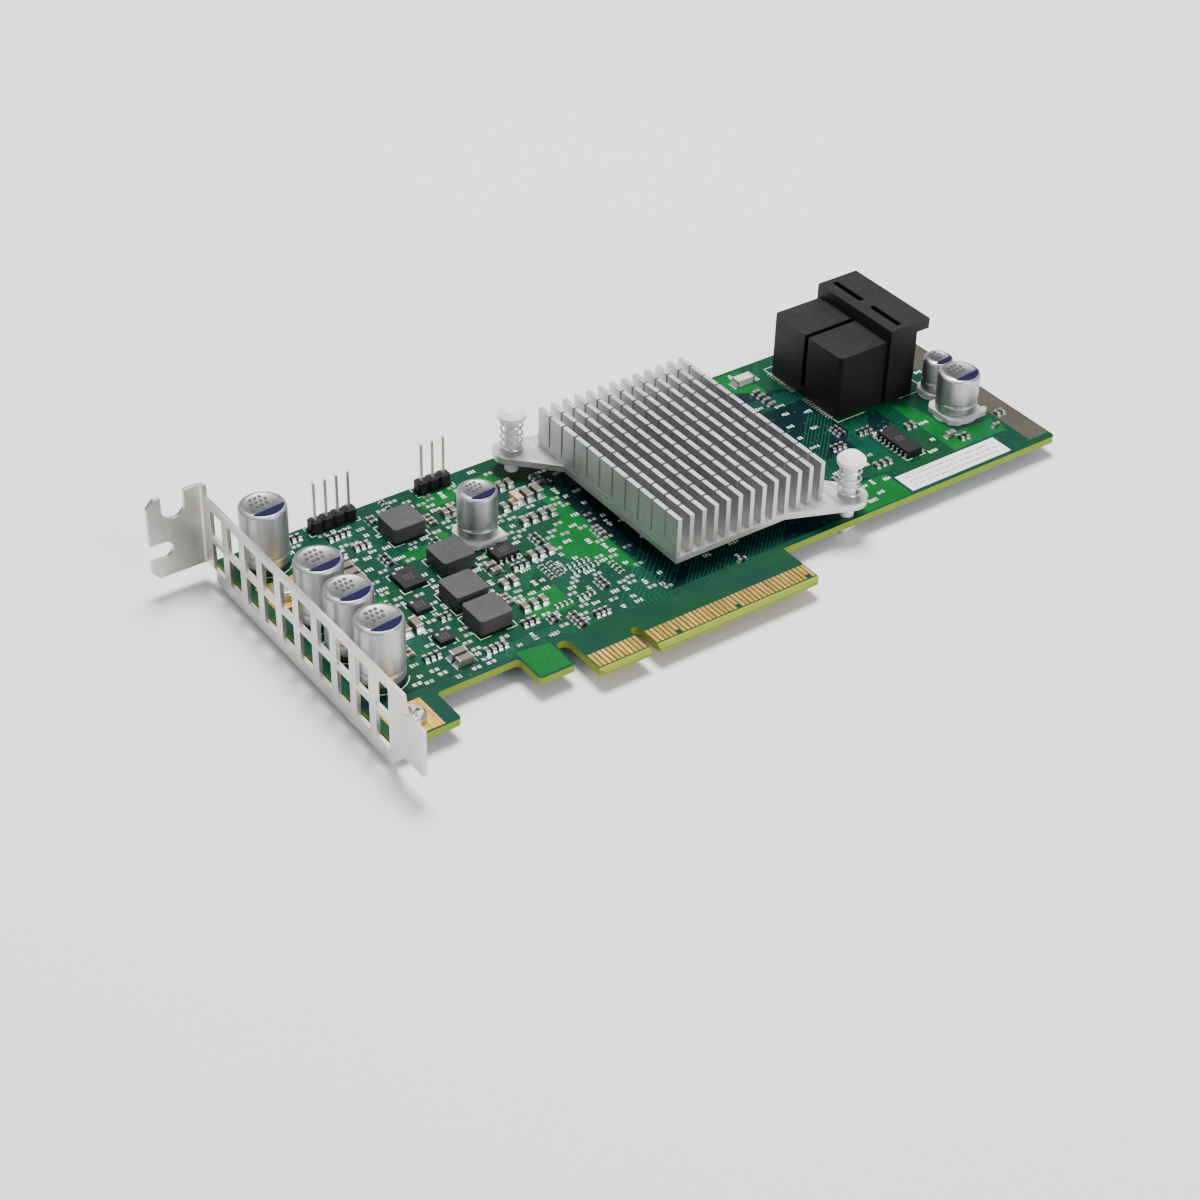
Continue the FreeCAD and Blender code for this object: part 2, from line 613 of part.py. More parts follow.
def make_bracket():
    body = new_body("Bracket")
    outer = -size("bracket_face")
    inner = outer + size("sheet_metal")
    fold = size("bracket_fold")
    under_tab = fold - size("sheet_metal")
    tab_end = outer - size("tab_length")
    low = face - size("bracket_bottom")
    high = low + size("bracket_width")
    tab_low, tab_high = face - size("tab_low"), face + size("tab_high")
    tail_end = -size("tail_end")

    profile = new_sketch(body, "FoldedSheet", offset=low)
    add_outline(profile, [(inner, tail_end), (inner, fold), (tab_end, fold),
                          (tab_end, under_tab), (outer, under_tab), (outer, tail_end)])
    sheet_pad = add_pad(body, "Sheet", profile, tab_high - low)
    bend = add_round(body, "BendInside", sheet_pad, [(outer, under_tab)], size("bend_radius"))
    add_round(body, "BendOutside", bend, [(inner, fold)],
              size("bend_radius") + size("sheet_metal"))

    edge = new_sketch(body, "BladeEdge", plane="YZ_Plane", offset=inner + overcut)
    flat_top = under_tab - size("bend_radius")
    add_outline(edge, [(tail_end - overcut, high), (flat_top, high),
                       (flat_top, tab_high + overcut), (tail_end - overcut, tab_high + overcut)])
    add_pocket(body, "BladeWidth", edge, size("sheet_metal") + 2 * overcut)

    ends = new_sketch(body, "BladeEnds", plane="YZ_Plane", offset=inner + overcut)
    tail_top = face + size("tail_top")
    tail_low = tail_top - size("tail_width")
    blade_end = -size("blade_end")
    corner = size("tail_corner")
    add_outline(ends, [(tail_end - overcut, low - overcut), (blade_end + corner, low - overcut),
                       (blade_end + corner, low), (blade_end, tail_low),
                       (tail_end - overcut, tail_low)])
    add_outline(ends, [(tail_end - overcut, tail_top), (blade_end - size("sheet_metal"), tail_top),
                       (blade_end, high), (blade_end, high + overcut),
                       (tail_end - overcut, high + overcut)])
    add_pocket(body, "Tail", ends, size("sheet_metal") + 2 * overcut)

    neck = new_sketch(body, "NeckEdge", plane="YZ_Plane", offset=inner + overcut)
    start = size("neck_start")
    add_outline(neck, [(start - size("neck_slope"), low), (start, low + size("sheet_metal")),
                       (start, tab_low), (fold + overcut, tab_low),
                       (fold + overcut, low - overcut),
                       (start - size("neck_slope"), low - overcut)])
    neck_cut = add_pocket(body, "Neck", neck, size("sheet_metal") + size("tab_length") + 2 * overcut)
    add_chamfer(body, "TabCorners", neck_cut,
                [(tab_end, tab_high), (tab_end, tab_low)], size("prong_chamfer"), along="y")

    slots = new_sketch(body, "TabSlots", plane="XZ_Plane", offset=overcut - under_tab)
    slot_x = outer - size("screw_slot_reach")
    slot_half = size("screw_slot_width") / 2
    slot_floor = tab_high - size("screw_slot_depth") + slot_half
    add_rectangle(slots, slot_x - slot_half, slot_floor, slot_x + slot_half, tab_high + overcut)
    notch_z = face + size("guide_notch_centre")
    notch_half = size("guide_notch_width") / 2
    notch_end = tab_end + size("guide_notch_depth") - notch_half
    add_rectangle(slots, tab_end - overcut, notch_z - notch_half, notch_end, notch_z + notch_half)
    add_pocket(body, "SlotSides", slots, size("sheet_metal") + 2 * overcut)
    rounds = new_sketch(body, "SlotRounds", plane="XZ_Plane", offset=overcut - under_tab)
    add_circle(rounds, slot_x, slot_floor, slot_half)
    add_circle(rounds, notch_end, notch_z, notch_half)
    add_pocket(body, "SlotEnds", rounds, size("sheet_metal") + 2 * overcut)

    window = new_sketch(body, "WindowPair", plane="YZ_Plane", offset=inner + overcut)
    windows = count("windows")
    first = size("window_first") - size("window_width") - size("window_pitch") * (windows - 1)
    row_low = face - size("window_low")
    for row in (0, 1):
        floor = row_low + row * (size("window_height") + size("window_bar"))
        add_rectangle(window, first, floor, first + size("window_width"),
                      floor + size("window_height"))
    pair = add_pocket(body, "Windows", window, size("sheet_metal") + 2 * overcut)
    add_row(body, "WindowRows", [pair], window, "H_Axis", size("window_pitch"), windows)

    ears = new_sketch(body, "EarPlan", offset=back - size("sheet_metal"))
    for x, y in screw_places:
        half = size("ear_width") / 2
        add_rectangle(ears, inner - size("flat_left"), y - half, outer + size("ear_reach"), y + half)
    ear_pad = add_pad(body, "Ears", ears, size("sheet_metal"))
    corners = [(outer + size("ear_reach"), y + side * size("ear_width") / 2)
               for x, y in screw_places for side in (-1, 1)]
    add_round(body, "EarCorners", ear_pad, corners, size("ear_corner"))
    taps = new_sketch(body, "EarTaps", offset=back)
    for x, y in screw_places:
        add_circle(taps, x, y, size("screw_radius"))
    add_pocket(body, "Taps", taps, size("sheet_metal"))
    keep(body, "io_bracket")


def make_screws():
    """Pan-head screws that clamp the board to the bracket's ears."""
    seat = face + size("plating")
    tip = back - size("sheet_metal") - size("screw_tip")
    top = seat + size("screw_head_height")
    radius, head = size("screw_radius"), size("screw_head_radius")
    crown = size("screw_crown")
    recess, length, depth = size("recess_size"), size("recess_length"), size("recess_depth")
    screws = []
    for x, y in screw_places:
        shape = [(0, tip), (radius, tip), (radius, seat), (head, seat), (head, top - crown),
                 (head - crown, top), (0, top)]
        corners = [Vector(r, 0, z) for r, z in shape]
        profile = Part.Face(Part.makePolygon(corners + corners[:1]))
        screw = profile.revolve(Vector(0, 0, 0), Vector(0, 0, 1), 360)
        for across, along in ((length, recess), (recess, length)):
            screw = screw.cut(block(0, 0, top - depth, across, along, depth))
        screw.translate(Vector(x, y, 0))
        screws.append(screw.Solids[0])
    add_group("BracketScrews", "bracket_screws", screws)


# ---------------------------------------------------------------- heatsink

def make_heatsink():
    body = new_body("Heatsink")
    seat = face + size("sink_seat")
    top = face + size("sink_top")
    left = size("sink_x") - size("sink_length") / 2
    right = left + size("sink_length")
    low = size("sink_y") - size("sink_width") / 2
    high = low + size("sink_width")
    base_top = seat + size("sink_base")

    plan = new_sketch(body, "BasePlan", offset=seat)
    add_rectangle(plan, left, low, right, high)
    add_pad(body, "Base", plan, size("sink_base"))

    radius = size("sink_ear_radius")
    root = EAR_ROOT * radius
    slant_x, slant_y = math.cos(EAR_SLANT) * radius, math.sin(EAR_SLANT) * radius
    for side, (corner_x, corner_y) in (("left", (left, high)), ("right", (right, low))):
        x, y = pin_places[side]
        sign = 1 if side == "right" else -1
        web = new_sketch(body, f"Web_{side}", offset=seat)
        add_outline(web, [
            (corner_x - sign * root, corner_y),
            (x - sign * slant_x, y - sign * slant_y),
            (x + sign * slant_x, y + sign * slant_y),
            (corner_x, corner_y + sign * root),
            (corner_x - sign * root, corner_y + sign * root),
        ])
        add_pad(body, f"EarWeb_{side}", web, size("sink_base"))
        disc = new_sketch(body, f"Disc_{side}", offset=seat)
        add_circle(disc, x, y, radius)
        add_pad(body, f"EarEnd_{side}", disc, size("sink_base"))

    fins = new_sketch(body, "FinPlan", offset=base_top)
    add_rectangle(fins, left, low, right, high)
    add_pad(body, "FinBlock", fins, top - base_top)

    fins_x, fins_y = count("fins_x"), count("fins_y")
    gap = (size("sink_length") - size("fin_thickness") * fins_x) / (fins_x - 1)
    gaps = new_sketch(body, "GapPlan", offset=top)
    start = left + size("fin_thickness")
    add_rectangle(gaps, start, low - overcut, start + gap, high + overcut)
    first_gap = add_pocket(body, "FinGap", gaps, top - base_top)
    add_row(body, "FinGaps", [first_gap], gaps, "H_Axis", gap + size("fin_thickness"), fins_x - 1)

    slot = size("fin_slot")
    segment = (size("sink_width") - slot * (fins_y - 1)) / fins_y
    cuts = new_sketch(body, "CutPlan", offset=top)
    start = low + segment
    add_rectangle(cuts, left - overcut, start, right + overcut, start + slot)
    first_cut = add_pocket(body, "CrossCut", cuts, top - base_top - size("cross_cut_floor"))
    add_row(body, "CrossCuts", [first_cut], cuts, "V_Axis", segment + slot, fins_y - 1)

    holes = new_sketch(body, "PinHoles", offset=base_top)
    for x, y in pin_places.values():
        add_circle(holes, x, y, size("pin_radius") + size("clearance"))
    add_pocket(body, "PinHolePair", holes, size("sink_base"))
    keep(body, "heatsink")


def make_push_pin(side):
    """A moulded pin: domed head, shank and a split barb below the board."""
    body = new_body(f"PushPin_{side}")
    head_low = face + size("pin_top") - size("pin_head_height")
    barb_top = back - size("pin_travel")
    barb_low = barb_top - size("pin_barb_length")
    shank, head, barb = size("pin_radius"), size("pin_head_radius"), size("pin_barb_radius")
    rim = size("pin_head_height") * PIN_RIM
    profile = new_sketch(body, f"PinProfile_{side}", plane="XZ_Plane")
    add_outline(profile, [
        (0.0, barb_low), (shank * PIN_TIP, barb_low), (barb, barb_top - size("pin_travel")),
        (barb, barb_top), (shank, barb_top), (shank, head_low), (head, head_low),
        (head, head_low + rim), (head * PIN_CROWN, face + size("pin_top")),
        (0.0, face + size("pin_top")),
    ])
    add_turning(body, f"PinTurning_{side}", profile)
    split = new_sketch(body, f"PinSplit_{side}", plane="XZ_Plane", offset=2 * barb)
    half = size("pin_split") / 2
    add_rectangle(split, -half, barb_low - overcut, half, back)
    add_pocket(body, f"Split_{side}", split, 4 * barb)
    x, y = pin_places[side]
    bind(body, "Placement.Base.x", x)
    bind(body, "Placement.Base.y", y)
    keep(body, f"push_pin_{side}")


def make_spring(side):
    """A wire coil between the heatsink's ear and the pin's head, in short straight runs."""
    wire, radius = size("spring_wire") / 2, size("spring_radius")
    low = face + size("sink_seat") + size("sink_base") + wire
    high = face + size("pin_top") - size("pin_head_height") - wire
    runs = count("spring_turns") * count("runs_per_turn")
    route = []
    for index in range(runs + 1):
        angle = 2 * math.pi * index / count("runs_per_turn")
        route.append(Vector(radius * math.cos(angle), radius * math.sin(angle),
                            (high - low) * index / runs))
    ahead = (route[1] - route[0]).normalize()
    out = ahead.cross(Vector(0, 0, 1)).normalize()
    over = out.cross(ahead)
    turns = [2 * math.pi * corner / WIRE_SIDES for corner in range(WIRE_SIDES + 1)]
    ring = [route[0] + out * (wire * math.cos(t)) + over * (wire * math.sin(t)) for t in turns]
    coil = Part.makePolygon(route).makePipeShell([Part.makePolygon(ring)], True, False,
                                                 MITRED_CORNERS)
    x, y = pin_places[side]
    spring = doc.addObject("Part::Feature", f"Spring_{side}")
    spring.Shape = coil.Solids[0]
    spring.Placement = Placement(Vector(x, y, low), Rotation())
    keep(spring, f"push_pin_spring_{side}")


# ---------------------------------------------------------------- controller

def make_controller():
    """The package, its die and the pad that carries its heat to the sink."""
    level = face
    rest = size("sink_seat") - size("package_height") - size("die_height")
    for name, node, side, height in (
            ("Package", "controller_package", size("package_side"), size("package_height")),
            ("Die", "controller_die", size("die_side"), size("die_height")),
            ("ThermalPad", "thermal_pad", size("die_side"), rest)):
        corner = (size("sink_x") - side / 2, size("sink_y") - side / 2, level)
        add_box(name, node, corner, (side, side, height))
        level = level + height


# ---------------------------------------------------------------- internal connector

def make_socket():
    body = new_body("Socket")
    low = size("socket_low")
    high = low + size("socket_width")
    inset = size("tower_inset")
    left, front = size("socket_left"), size("socket_front")
    step, mouth = size("socket_step"), size("socket_face")
    top = face + size("socket_height")

    rear = new_sketch(body, "TowerPlan", offset=face)
    add_rectangle(rear, left, low + inset, front, high - inset)
    tower = add_pad(body, "Towers", rear, size("tower_height"))
    tower = add_chamfer(body, "TowerCorners", tower,
                        [(left, low + inset), (left, high - inset)], inset)
    groove = new_sketch(body, "GroovePlan", offset=face + size("tower_height"))
    half = size("tower_groove") / 2
    add_rectangle(groove, left - overcut, socket_middle - half, front, socket_middle + half)
    add_pocket(body, "Groove", groove, size("tower_height") - size("port_floor"))

    block_plan = new_sketch(body, "FrontPlan", offset=face)
    add_rectangle(block_plan, front, low, step, high)
    add_pad(body, "FrontBlock", block_plan, size("socket_height"))
    brow = new_sketch(body, "BrowPlan", offset=top - size("brow_height"))
    add_rectangle(brow, step, low, mouth, high)
    add_pad(body, "Brow", brow, size("brow_height"))

    mouths = new_sketch(body, "PortFaces", plane="YZ_Plane", offset=step)
    floor = face + size("port_floor")
    for y in ports.values():
        half = size("port_width") / 2
        add_rectangle(mouths, y - half, floor, y + half, floor + size("port_height"))
    add_pocket(body, "Ports", mouths, size("port_depth"))

    latches = new_sketch(body, "LatchPlan", offset=top)
    roof = size("socket_height") - size("port_floor") - size("port_height")
    for y in ports.values():
        reach, half = size("latch_slot_length") / 2, size("latch_slot_width") / 2
        add_rectangle(latches, size("latch_slot_x") - half, y - reach,
                      size("latch_slot_x") + half, y + reach)
    add_pocket(body, "LatchSlots", latches, roof + overcut)

    pegs = new_sketch(body, "PegPlan", offset=back - size("peg_radius"))
    for x, y in peg_places():
        add_circle(pegs, x, y, size("peg_radius"))
    add_pad(body, "Pegs", pegs, size("board_thickness") + size("peg_radius"))
    keep(body, "sas_connector")


def core_box():
    """Low corner heights and spans shared by a port's core and its contacts."""
    gap = size("core_gap")
    floor = face + size("port_floor") + gap
    width = size("port_width") - 2 * gap
    height = size("port_height") - 2 * gap
    rear = size("socket_step") - size("port_depth")
    return rear, floor, width, height


def make_port_core(name, y):
    """A port's inner core with two card slots one above the other."""
    body = new_body(f"Core_{name}")
    rear, floor, width, height = core_box()
    front = rear + size("core_reach")
    plan = new_sketch(body, f"CorePlan_{name}", offset=floor)
    add_rectangle(plan, rear, y - width / 2, front, y + width / 2)
    add_pad(body, f"CoreBlock_{name}", plan, height)
    slots = new_sketch(body, f"CardSlots_{name}", plane="YZ_Plane", offset=front)
    half_width = width / 2 - size("core_gap")
    for level in card_slot_levels():
        half = size("card_slot_height") / 2
        add_rectangle(slots, y - half_width, level - half, y + half_width, level + half)
    add_pocket(body, f"Slots_{name}", slots, size("card_slot_depth"))
    keep(body, f"sas_port_core_{name}")


def card_slot_levels():
    middle = face + size("port_floor") + size("port_height") / 2
    return [middle + side * size("card_slot_pitch") / 2 for side in (-1, 1)]


def make_port_contacts(name, y):
    """Spring contacts along the upper and lower side of each card slot."""
    rear, floor, width, height = core_box()
    pins, pitch = count("port_contacts"), size("port_contact_pitch")
    span = size("port_contact_width")
    depth = size("card_slot_depth") - size("clearance")
    start = rear + size("core_reach") - size("card_slot_depth")
    solids = []
    for level in card_slot_levels():
        for side in (-1, 1):
            rise = size("clearance")
            low = level + side * size("card_slot_height") / 2 - (rise if side > 0 else 0.0)
            for index in range(pins):
                middle = y + (index - (pins - 1) / 2) * pitch
                solids.append(block(start + depth / 2, middle, low, depth, span, rise))
    add_group(f"PortContacts_{name}", f"sas_port_contacts_{name}", solids)


def make_tails():
    """Flat tails soldered to the board behind each port."""
    solids = []
    length, pitch = size("tail_length"), size("port_contact_pitch")
    tails = count("tails")
    for y in ports.values():
        for index in range(tails):
            middle = y + (index - (tails - 1) / 2) * pitch
            solids.append(block(size("socket_left") - length / 2, middle, face, length,
                                size("port_contact_width"), size("tail_sheet")))
    add_group("ConnectorTails", "sas_connector_tails", solids)


# ---------------------------------------------------------------- capacitors

def make_can(number, x, y, radius, low, high):
    """An aluminium can with a rolled lower edge, a groove and a domed rim."""
    body = new_body(f"Can_{number}")
    groove = size("can_groove")
    edge = 2 * groove
    groove_low, groove_middle, groove_high = [low + edge * share for share in CAN_GROOVE]
    rim_in, step_in = [radius - edge * share for share in CAN_RIM]
    sunk = high - groove / 3
    profile = new_sketch(body, f"CanProfile_{number}", plane="XZ_Plane")
    add_outline(profile, [
        (0.0, low), (radius - groove, low), (radius, low + groove), (radius, groove_low),
        (radius - groove, groove_middle), (radius, groove_high), (radius, high - edge),
        (radius - groove / 3, high - groove), (radius - edge, high), (rim_in, high),
        (step_in, sunk), (0.0, sunk),
    ])
    add_turning(body, f"CanTurning_{number}", profile)
    bind(body, "Placement.Base.x", x)
    bind(body, "Placement.Base.y", y)
    keep(body, f"capacitor_can_{number}")


def make_tall_capacitors():
    seal_top = face + size("seal_height")
    for number, (x, y) in enumerate(tall_cans, start=1):
        seal = doc.addObject("Part::Cylinder", f"Seal_{number}")
        bind(seal, "Radius", size("can_radius") - size("can_groove"))
        bind(seal, "Height", size("seal_height"))
        for axis, value in zip("xyz", (x, y, face)):
            bind(seal, f"Placement.Base.{axis}", value)
        keep(seal, f"capacitor_seal_{number}")
        make_can(number, x, y, size("can_radius"), seal_top, face + size("can_top"))
    length = size("board_thickness") + size("lead_length")
    leads = [Part.makeCylinder(size("lead_radius"), length,
                               Vector(x, y, face - length)) for x, y in lead_places()]
    add_group("CapacitorLeads", "capacitor_leads", leads)


def make_short_capacitors():
    """Cans on square moulded bases with two cut corners."""
    for number, (x, y, radius, top) in short_cans.items():
        body = new_body(f"CanBase_{number}")
        reach = radius + size("base_margin")
        plan = new_sketch(body, f"CanBasePlan_{number}", offset=face)
        add_rectangle(plan, x - reach, y - reach, x + reach, y + reach)
        pad = add_pad(body, f"CanBasePad_{number}", plan, size("base_height"))
        add_chamfer(body, f"CanBaseCorners_{number}", pad,
                    [(x - reach, y - reach), (x - reach, y + reach)], size("base_chamfer"))
        keep(body, f"capacitor_base_{number}")
        make_can(number, x, y, radius, face + size("base_height"), face + top)


# ---------------------------------------------------------------- pin headers

def make_header(name, middle, pins):
    """A moulded base with square pins that go down through the board."""
    side = size("header_pin")
    low = back - size("lead_length")
    high = face + size("header_pin_top")
    posts = [block(x, y, low, side, side, high - low) for x, y in header_pin_places(middle, pins)]
    group = add_group(f"HeaderPins_{name}", f"{name}_header_pins", posts)
    length = header_pitch * pins
    base = add_box(f"HeaderBlock_{name}", None,
                   (middle - length / 2, size("header_y") - size("header_width") / 2, face),
                   (length, size("header_width"), size("header_height")))
    cut = doc.addObject("Part::Cut", f"HeaderBase_{name}")
    cut.Base = base
    cut.Tool = group
    keep(cut, f"{name}_header_base")


# ---------------------------------------------------------------- inductors

INDUCTORS = [(-19.4, 57.4), (-17.3, 43.0), (-21.1, 32.6), (-21.4, 24.0)]


def make_inductors():
    """Moulded power inductors on two flat terminals each."""
    length, width = size("inductor_length"), size("inductor_width")
    terminal = size("inductor_terminal")
    plates = []
    for number, (x, y) in enumerate(INDUCTORS, start=1):
        body = new_body(f"Inductor_{number}")
        plan = new_sketch(body, f"InductorPlan_{number}", offset=face + terminal)
        add_rectangle(plan, x - length / 2, y - width / 2, x + length / 2, y + width / 2)
        pad = add_pad(body, f"InductorBlock_{number}", plan, size("inductor_height") - terminal)
        corners = [(x + i * length / 2, y + j * width / 2) for i in (-1, 1) for j in (-1, 1)]
        add_chamfer(body, f"InductorCorners_{number}", pad, corners, size("inductor_corner"))
        keep(body, f"inductor_{number}")
        for end in (-1, 1):
            middle = x + end * (length - size("terminal_length")) / 2
            plates.append(block(middle, y, face, size("terminal_length"),
                                size("terminal_width"), terminal))
    add_group("InductorTerminals", "inductor_terminals", plates)


# ---------------------------------------------------------------- chips

CHIPS = [
    # node, middle x, middle y, body x, body y, height, leads on each side (0 for none)
    ("power_switch_chip_1", -26.9, 43.0, 4.9, 5.8, 1.0, 0),
    ("power_switch_chip_2", -29.6, 34.6, 3.4, 3.8, 0.9, 0),
    ("power_switch_chip_3", -31.0, 24.0, 3.2, 3.2, 0.9, 0),
    ("regulator_chip", -7.4, 39.9, 4.9, 3.9, 1.5, 4),
    ("flash_chip", 82.0, 27.0, 3.9, 9.9, 1.6, 8),
]


def gull_wing(edge, along, direction, side_axis, top):
    """A bent lead from a chip's side down to the board, as an extruded profile."""
    sheet_metal = size("lead_sheet")
    out = size("lead_out")
    knee = out * LEAD_KNEE
    shoulder_high = face + top / 2 + sheet_metal / 2
    shoulder_low = shoulder_high - sheet_metal
    foot_top = face + sheet_metal
    shape = [(0, shoulder_low), (knee - sheet_metal, shoulder_low), (knee - sheet_metal, face),
             (out, face), (out, foot_top), (knee, foot_top), (knee, shoulder_high),
             (0, shoulder_high)]
    width = size("lead_width")
    if side_axis == "x":
        corners = [Vector(edge + direction * r, along - width / 2, z) for r, z in shape]
        sweep = Vector(0, width, 0)
    else:
        corners = [Vector(along - width / 2, edge + direction * r, z) for r, z in shape]
        sweep = Vector(width, 0, 0)
    return Part.Face(Part.makePolygon(corners + corners[:1])).extrude(sweep)


def make_chips():
    leads = []
    for node, x, y, span_x, span_y, height, pins in CHIPS:
        lift = size("chip_standoff") if pins else 0.0
        bottom = face + lift
        add_box(node.title().replace("_", ""), node,
                (x - span_x / 2, y - span_y / 2, bottom),
                (span_x, span_y, height - lift))
        for index in range(pins):
            shift = (index - (pins - 1) / 2) * size("lead_pitch")
            for direction in (-1, 1):
                if span_y > span_x:
                    lead = gull_wing(x + direction * span_x / 2, y + shift, direction, "x", height)
                else:
                    lead = gull_wing(y + direction * span_y / 2, x + shift, direction, "y", height)
                leads.append(lead)
    add_group("ChipLeads", "chip_leads", leads)


# ---------------------------------------------------------------- chip parts

CASES = {
    # case: length, width, height
    "small": (1.0, 0.5, 0.35),
    "middle": (1.6, 0.8, 0.75),
    "large": (2.0, 1.25, 1.1),
    "wide": (3.2, 1.6, 1.5),
    "long": (4.5, 2.2, 1.6),
}

CERAMIC_CAPACITORS = [
    # middle of the row x, y, long side's axis, copies, pitch, case
    (5.7, 59.2, "y", 2, 2.0, "large"),
    (2.4, 52.6, "y", 2, 2.1, "large"),
    (8.6, 53.8, "y", 2, 2.4, "wide"),
    (5.2, 46.6, "y", 4, 2.2, "large"),
    (-1.2, 36.2, "y", 3, 2.0, "large"),
    (-11.6, 36.9, "x", 2, 2.0, "large"),
    (-11.6, 31.6, "y", 2, 2.2, "large"),
    (-11.4, 23.4, "y", 3, 2.1, "large"),
    (-35.2, 50.0, "x", 3, 2.3, "wide"),
    (-34.6, 30.0, "y", 2, 2.6, "wide"),
    (-31.5, 17.2, "x", 2, 2.3, "wide"),
    (size("socket_left") - size("parts_behind_socket"), 56.0, "x", 4, 1.8, "middle"),
    (88.4, 31.0, "y", 2, 1.6, "middle"),
    (74.5, 23.4, "y", 3, 1.6, "middle"),
    (-22.6, 63.4, "x", 2, 1.4, "middle"),
    (-28.6, 57.2, "y", 3, 1.3, "middle"),
    (-39.2, 56.2, "x", 3, 1.3, "middle"),
    (-38.2, 40.6, "y", 3, 1.3, "middle"),
    (-38.8, 24.4, "x", 3, 1.3, "middle"),
    (-24.6, 16.4, "y", 4, 1.3, "middle"),
    (-14.8, 27.4, "x", 3, 1.2, "middle"),
    (-13.2, 57.2, "x", 3, 1.3, "middle"),
    (-8.6, 57.4, "y", 2, 1.7, "large"),
    (12.4, 57.4, "x", 3, 1.3, "middle"),
    (12.4, 36.0, "x", 3, 1.2, "middle"),
    (63.6, 24.0, "y", 3, 1.3, "middle"),
    (93.2, 23.6, "x", 1, 1.3, "large"),
    (103.8, 21.2, "x", 1, 1.3, "middle"),
    (107.6, 24.4, "y", 2, 1.4, "middle"),
]

CHIP_RESISTORS = [
    (-3.4, 30.6, "x", 5, 1.1, "small"),
    (-1.4, 30.6, "x", 5, 1.1, "small"),
    (2.6, 29.8, "y", 6, 1.1, "small"),
    (3.4, 27.8, "y", 6, 1.1, "small"),
    (-1.4, 20.6, "y", 4, 1.1, "small"),
    (-6.6, 20.6, "y", 4, 1.1, "small"),
    (3.2, 21.8, "x", 3, 1.2, "middle"),
    (-7.2, 15.0, "x", 4, 1.2, "middle"),
    (-2.2, 14.4, "y", 3, 1.2, "middle"),
    (30.0, 12.9, "x", 1, 1.2, "middle"),
    (70.6, 33.0, "y", 3, 1.3, "middle"),
    (-17.6, 66.8, "x", 3, 1.2, "small"),
    (-38.6, 66.4, "y", 3, 1.3, "middle"),
    (-30.6, 62.6, "y", 4, 1.3, "middle"),
    (-27.0, 50.6, "x", 3, 1.4, "middle"),
    (-33.6, 56.6, "y", 2, 1.3, "middle"),
    (-35.0, 38.4, "y", 2, 1.3, "middle"),
    (-27.4, 29.4, "y", 2, 1.3, "middle"),
    (-35.8, 20.6, "y", 3, 1.3, "middle"),
    (-15.0, 19.4, "y", 3, 1.3, "middle"),
    (-6.8, 35.0, "y", 3, 1.3, "middle"),
    (-16.0, 50.4, "x", 2, 1.3, "middle"),
    (-2.6, 60.8, "y", 3, 1.3, "middle"),
    (0.8, 40.4, "x", 3, 1.3, "middle"),
    (-10.8, 17.8, "x", 2, 1.3, "middle"),
    (8.6, 24.6, "x", 4, 1.2, "small"),
    (74.4, 37.6, "x", 3, 1.3, "middle"),
    (79.0, 34.6, "y", 3, 1.3, "middle"),
    (95.0, 21.6, "y", 2, 1.4, "middle"),
]

TAN_CAPACITORS = [
    (5.0, 53.8, "y", 1, 2.4, "wide"),
]

CHIP_INDUCTORS = [
    (69.8, 63.6, "x", 1, 2.0, "long"),
]


def chip_parts(rows):
    """Bodies and end caps of rows of chip parts, each row stepping sideways."""
    cap, proud = size("end_cap"), size("end_proud")
    bodies, ends = [], []
    for x, y, axis, copies, pitch, case in rows:
        length, width, height = CASES[case]
        for index in range(copies):
            shift = (index - (copies - 1) / 2) * pitch
            for kind, offset, span in (("body", 0.0, length - 2 * cap),
                                       ("end", -(length - cap) / 2, cap),
                                       ("end", (length - cap) / 2, cap)):
                side = width if kind == "end" else width - 2 * proud
                rise = height if kind == "end" else height - proud
                if axis == "x":
                    solid = block(x + offset, y + shift, face, span, side, rise)
                else:
                    solid = block(x + shift, y + offset, face, side, span, rise)
                (bodies if kind == "body" else ends).append(solid)
    return bodies, ends


def make_chip_parts():
    for name, node, rows in (("Ceramics", "ceramic_capacitor", CERAMIC_CAPACITORS),
                             ("Tans", "tan_capacitor", TAN_CAPACITORS),
                             ("ChipInductors", "chip_inductor", CHIP_INDUCTORS),
                             ("Resistors", "chip_resistor", CHIP_RESISTORS)):
        bodies, ends = chip_parts(rows)
        add_group(name, f"{node}s", bodies)
        add_group(f"{name}Ends", f"{node}_ends", ends)


def make_label():
    add_box("Label", "printed_label", (size("label_left"), size("label_low"), face),
            (size("label_length"), size("label_width"), size("label_thickness")))


# ---------------------------------------------------------------- all sub-parts

def make_all():
    make_board()
    make_contacts("FrontContacts", "edge_contacts_front", face, PRESENCE_FRONT)
    make_contacts("BackContacts", "edge_contacts_back", back - size("plating"), PRESENCE_BACK)
    make_ground_pads()
    make_bracket()
    make_screws()
    make_heatsink()
    for side in pin_places:
        make_push_pin(side)
        make_spring(side)
    make_controller()
    make_socket()
    for name, y in ports.items():
        make_port_core(name, y)
        make_port_contacts(name, y)
    make_tails()
    make_tall_capacitors()
    make_short_capacitors()
    for name, (middle, pins) in headers.items():
        make_header(name, middle, pins)
    make_inductors()
    make_chips()
    make_chip_parts()
    make_label()


def export_all():
    """Checks every object and sub-part, then writes one STEP file for each."""
    doc.recompute()
    for feature in doc.Objects:
        if {"Invalid", "Error"} & set(feature.State):
            raise RuntimeError(f"{feature.Name} failed: {feature.State}")
    for feature in NODES:
        if feature.Shape.isNull() or not feature.Shape.isValid() or not feature.Shape.Solids:
            raise RuntimeError(f"{feature.Label} has no valid shape")
    os.makedirs("parts", exist_ok=True)
    for feature in NODES:
        feature.Shape.exportStep(f"parts/{feature.Label}.step")
    print(len(NODES), "sub-parts written")


make_all()
export_all()
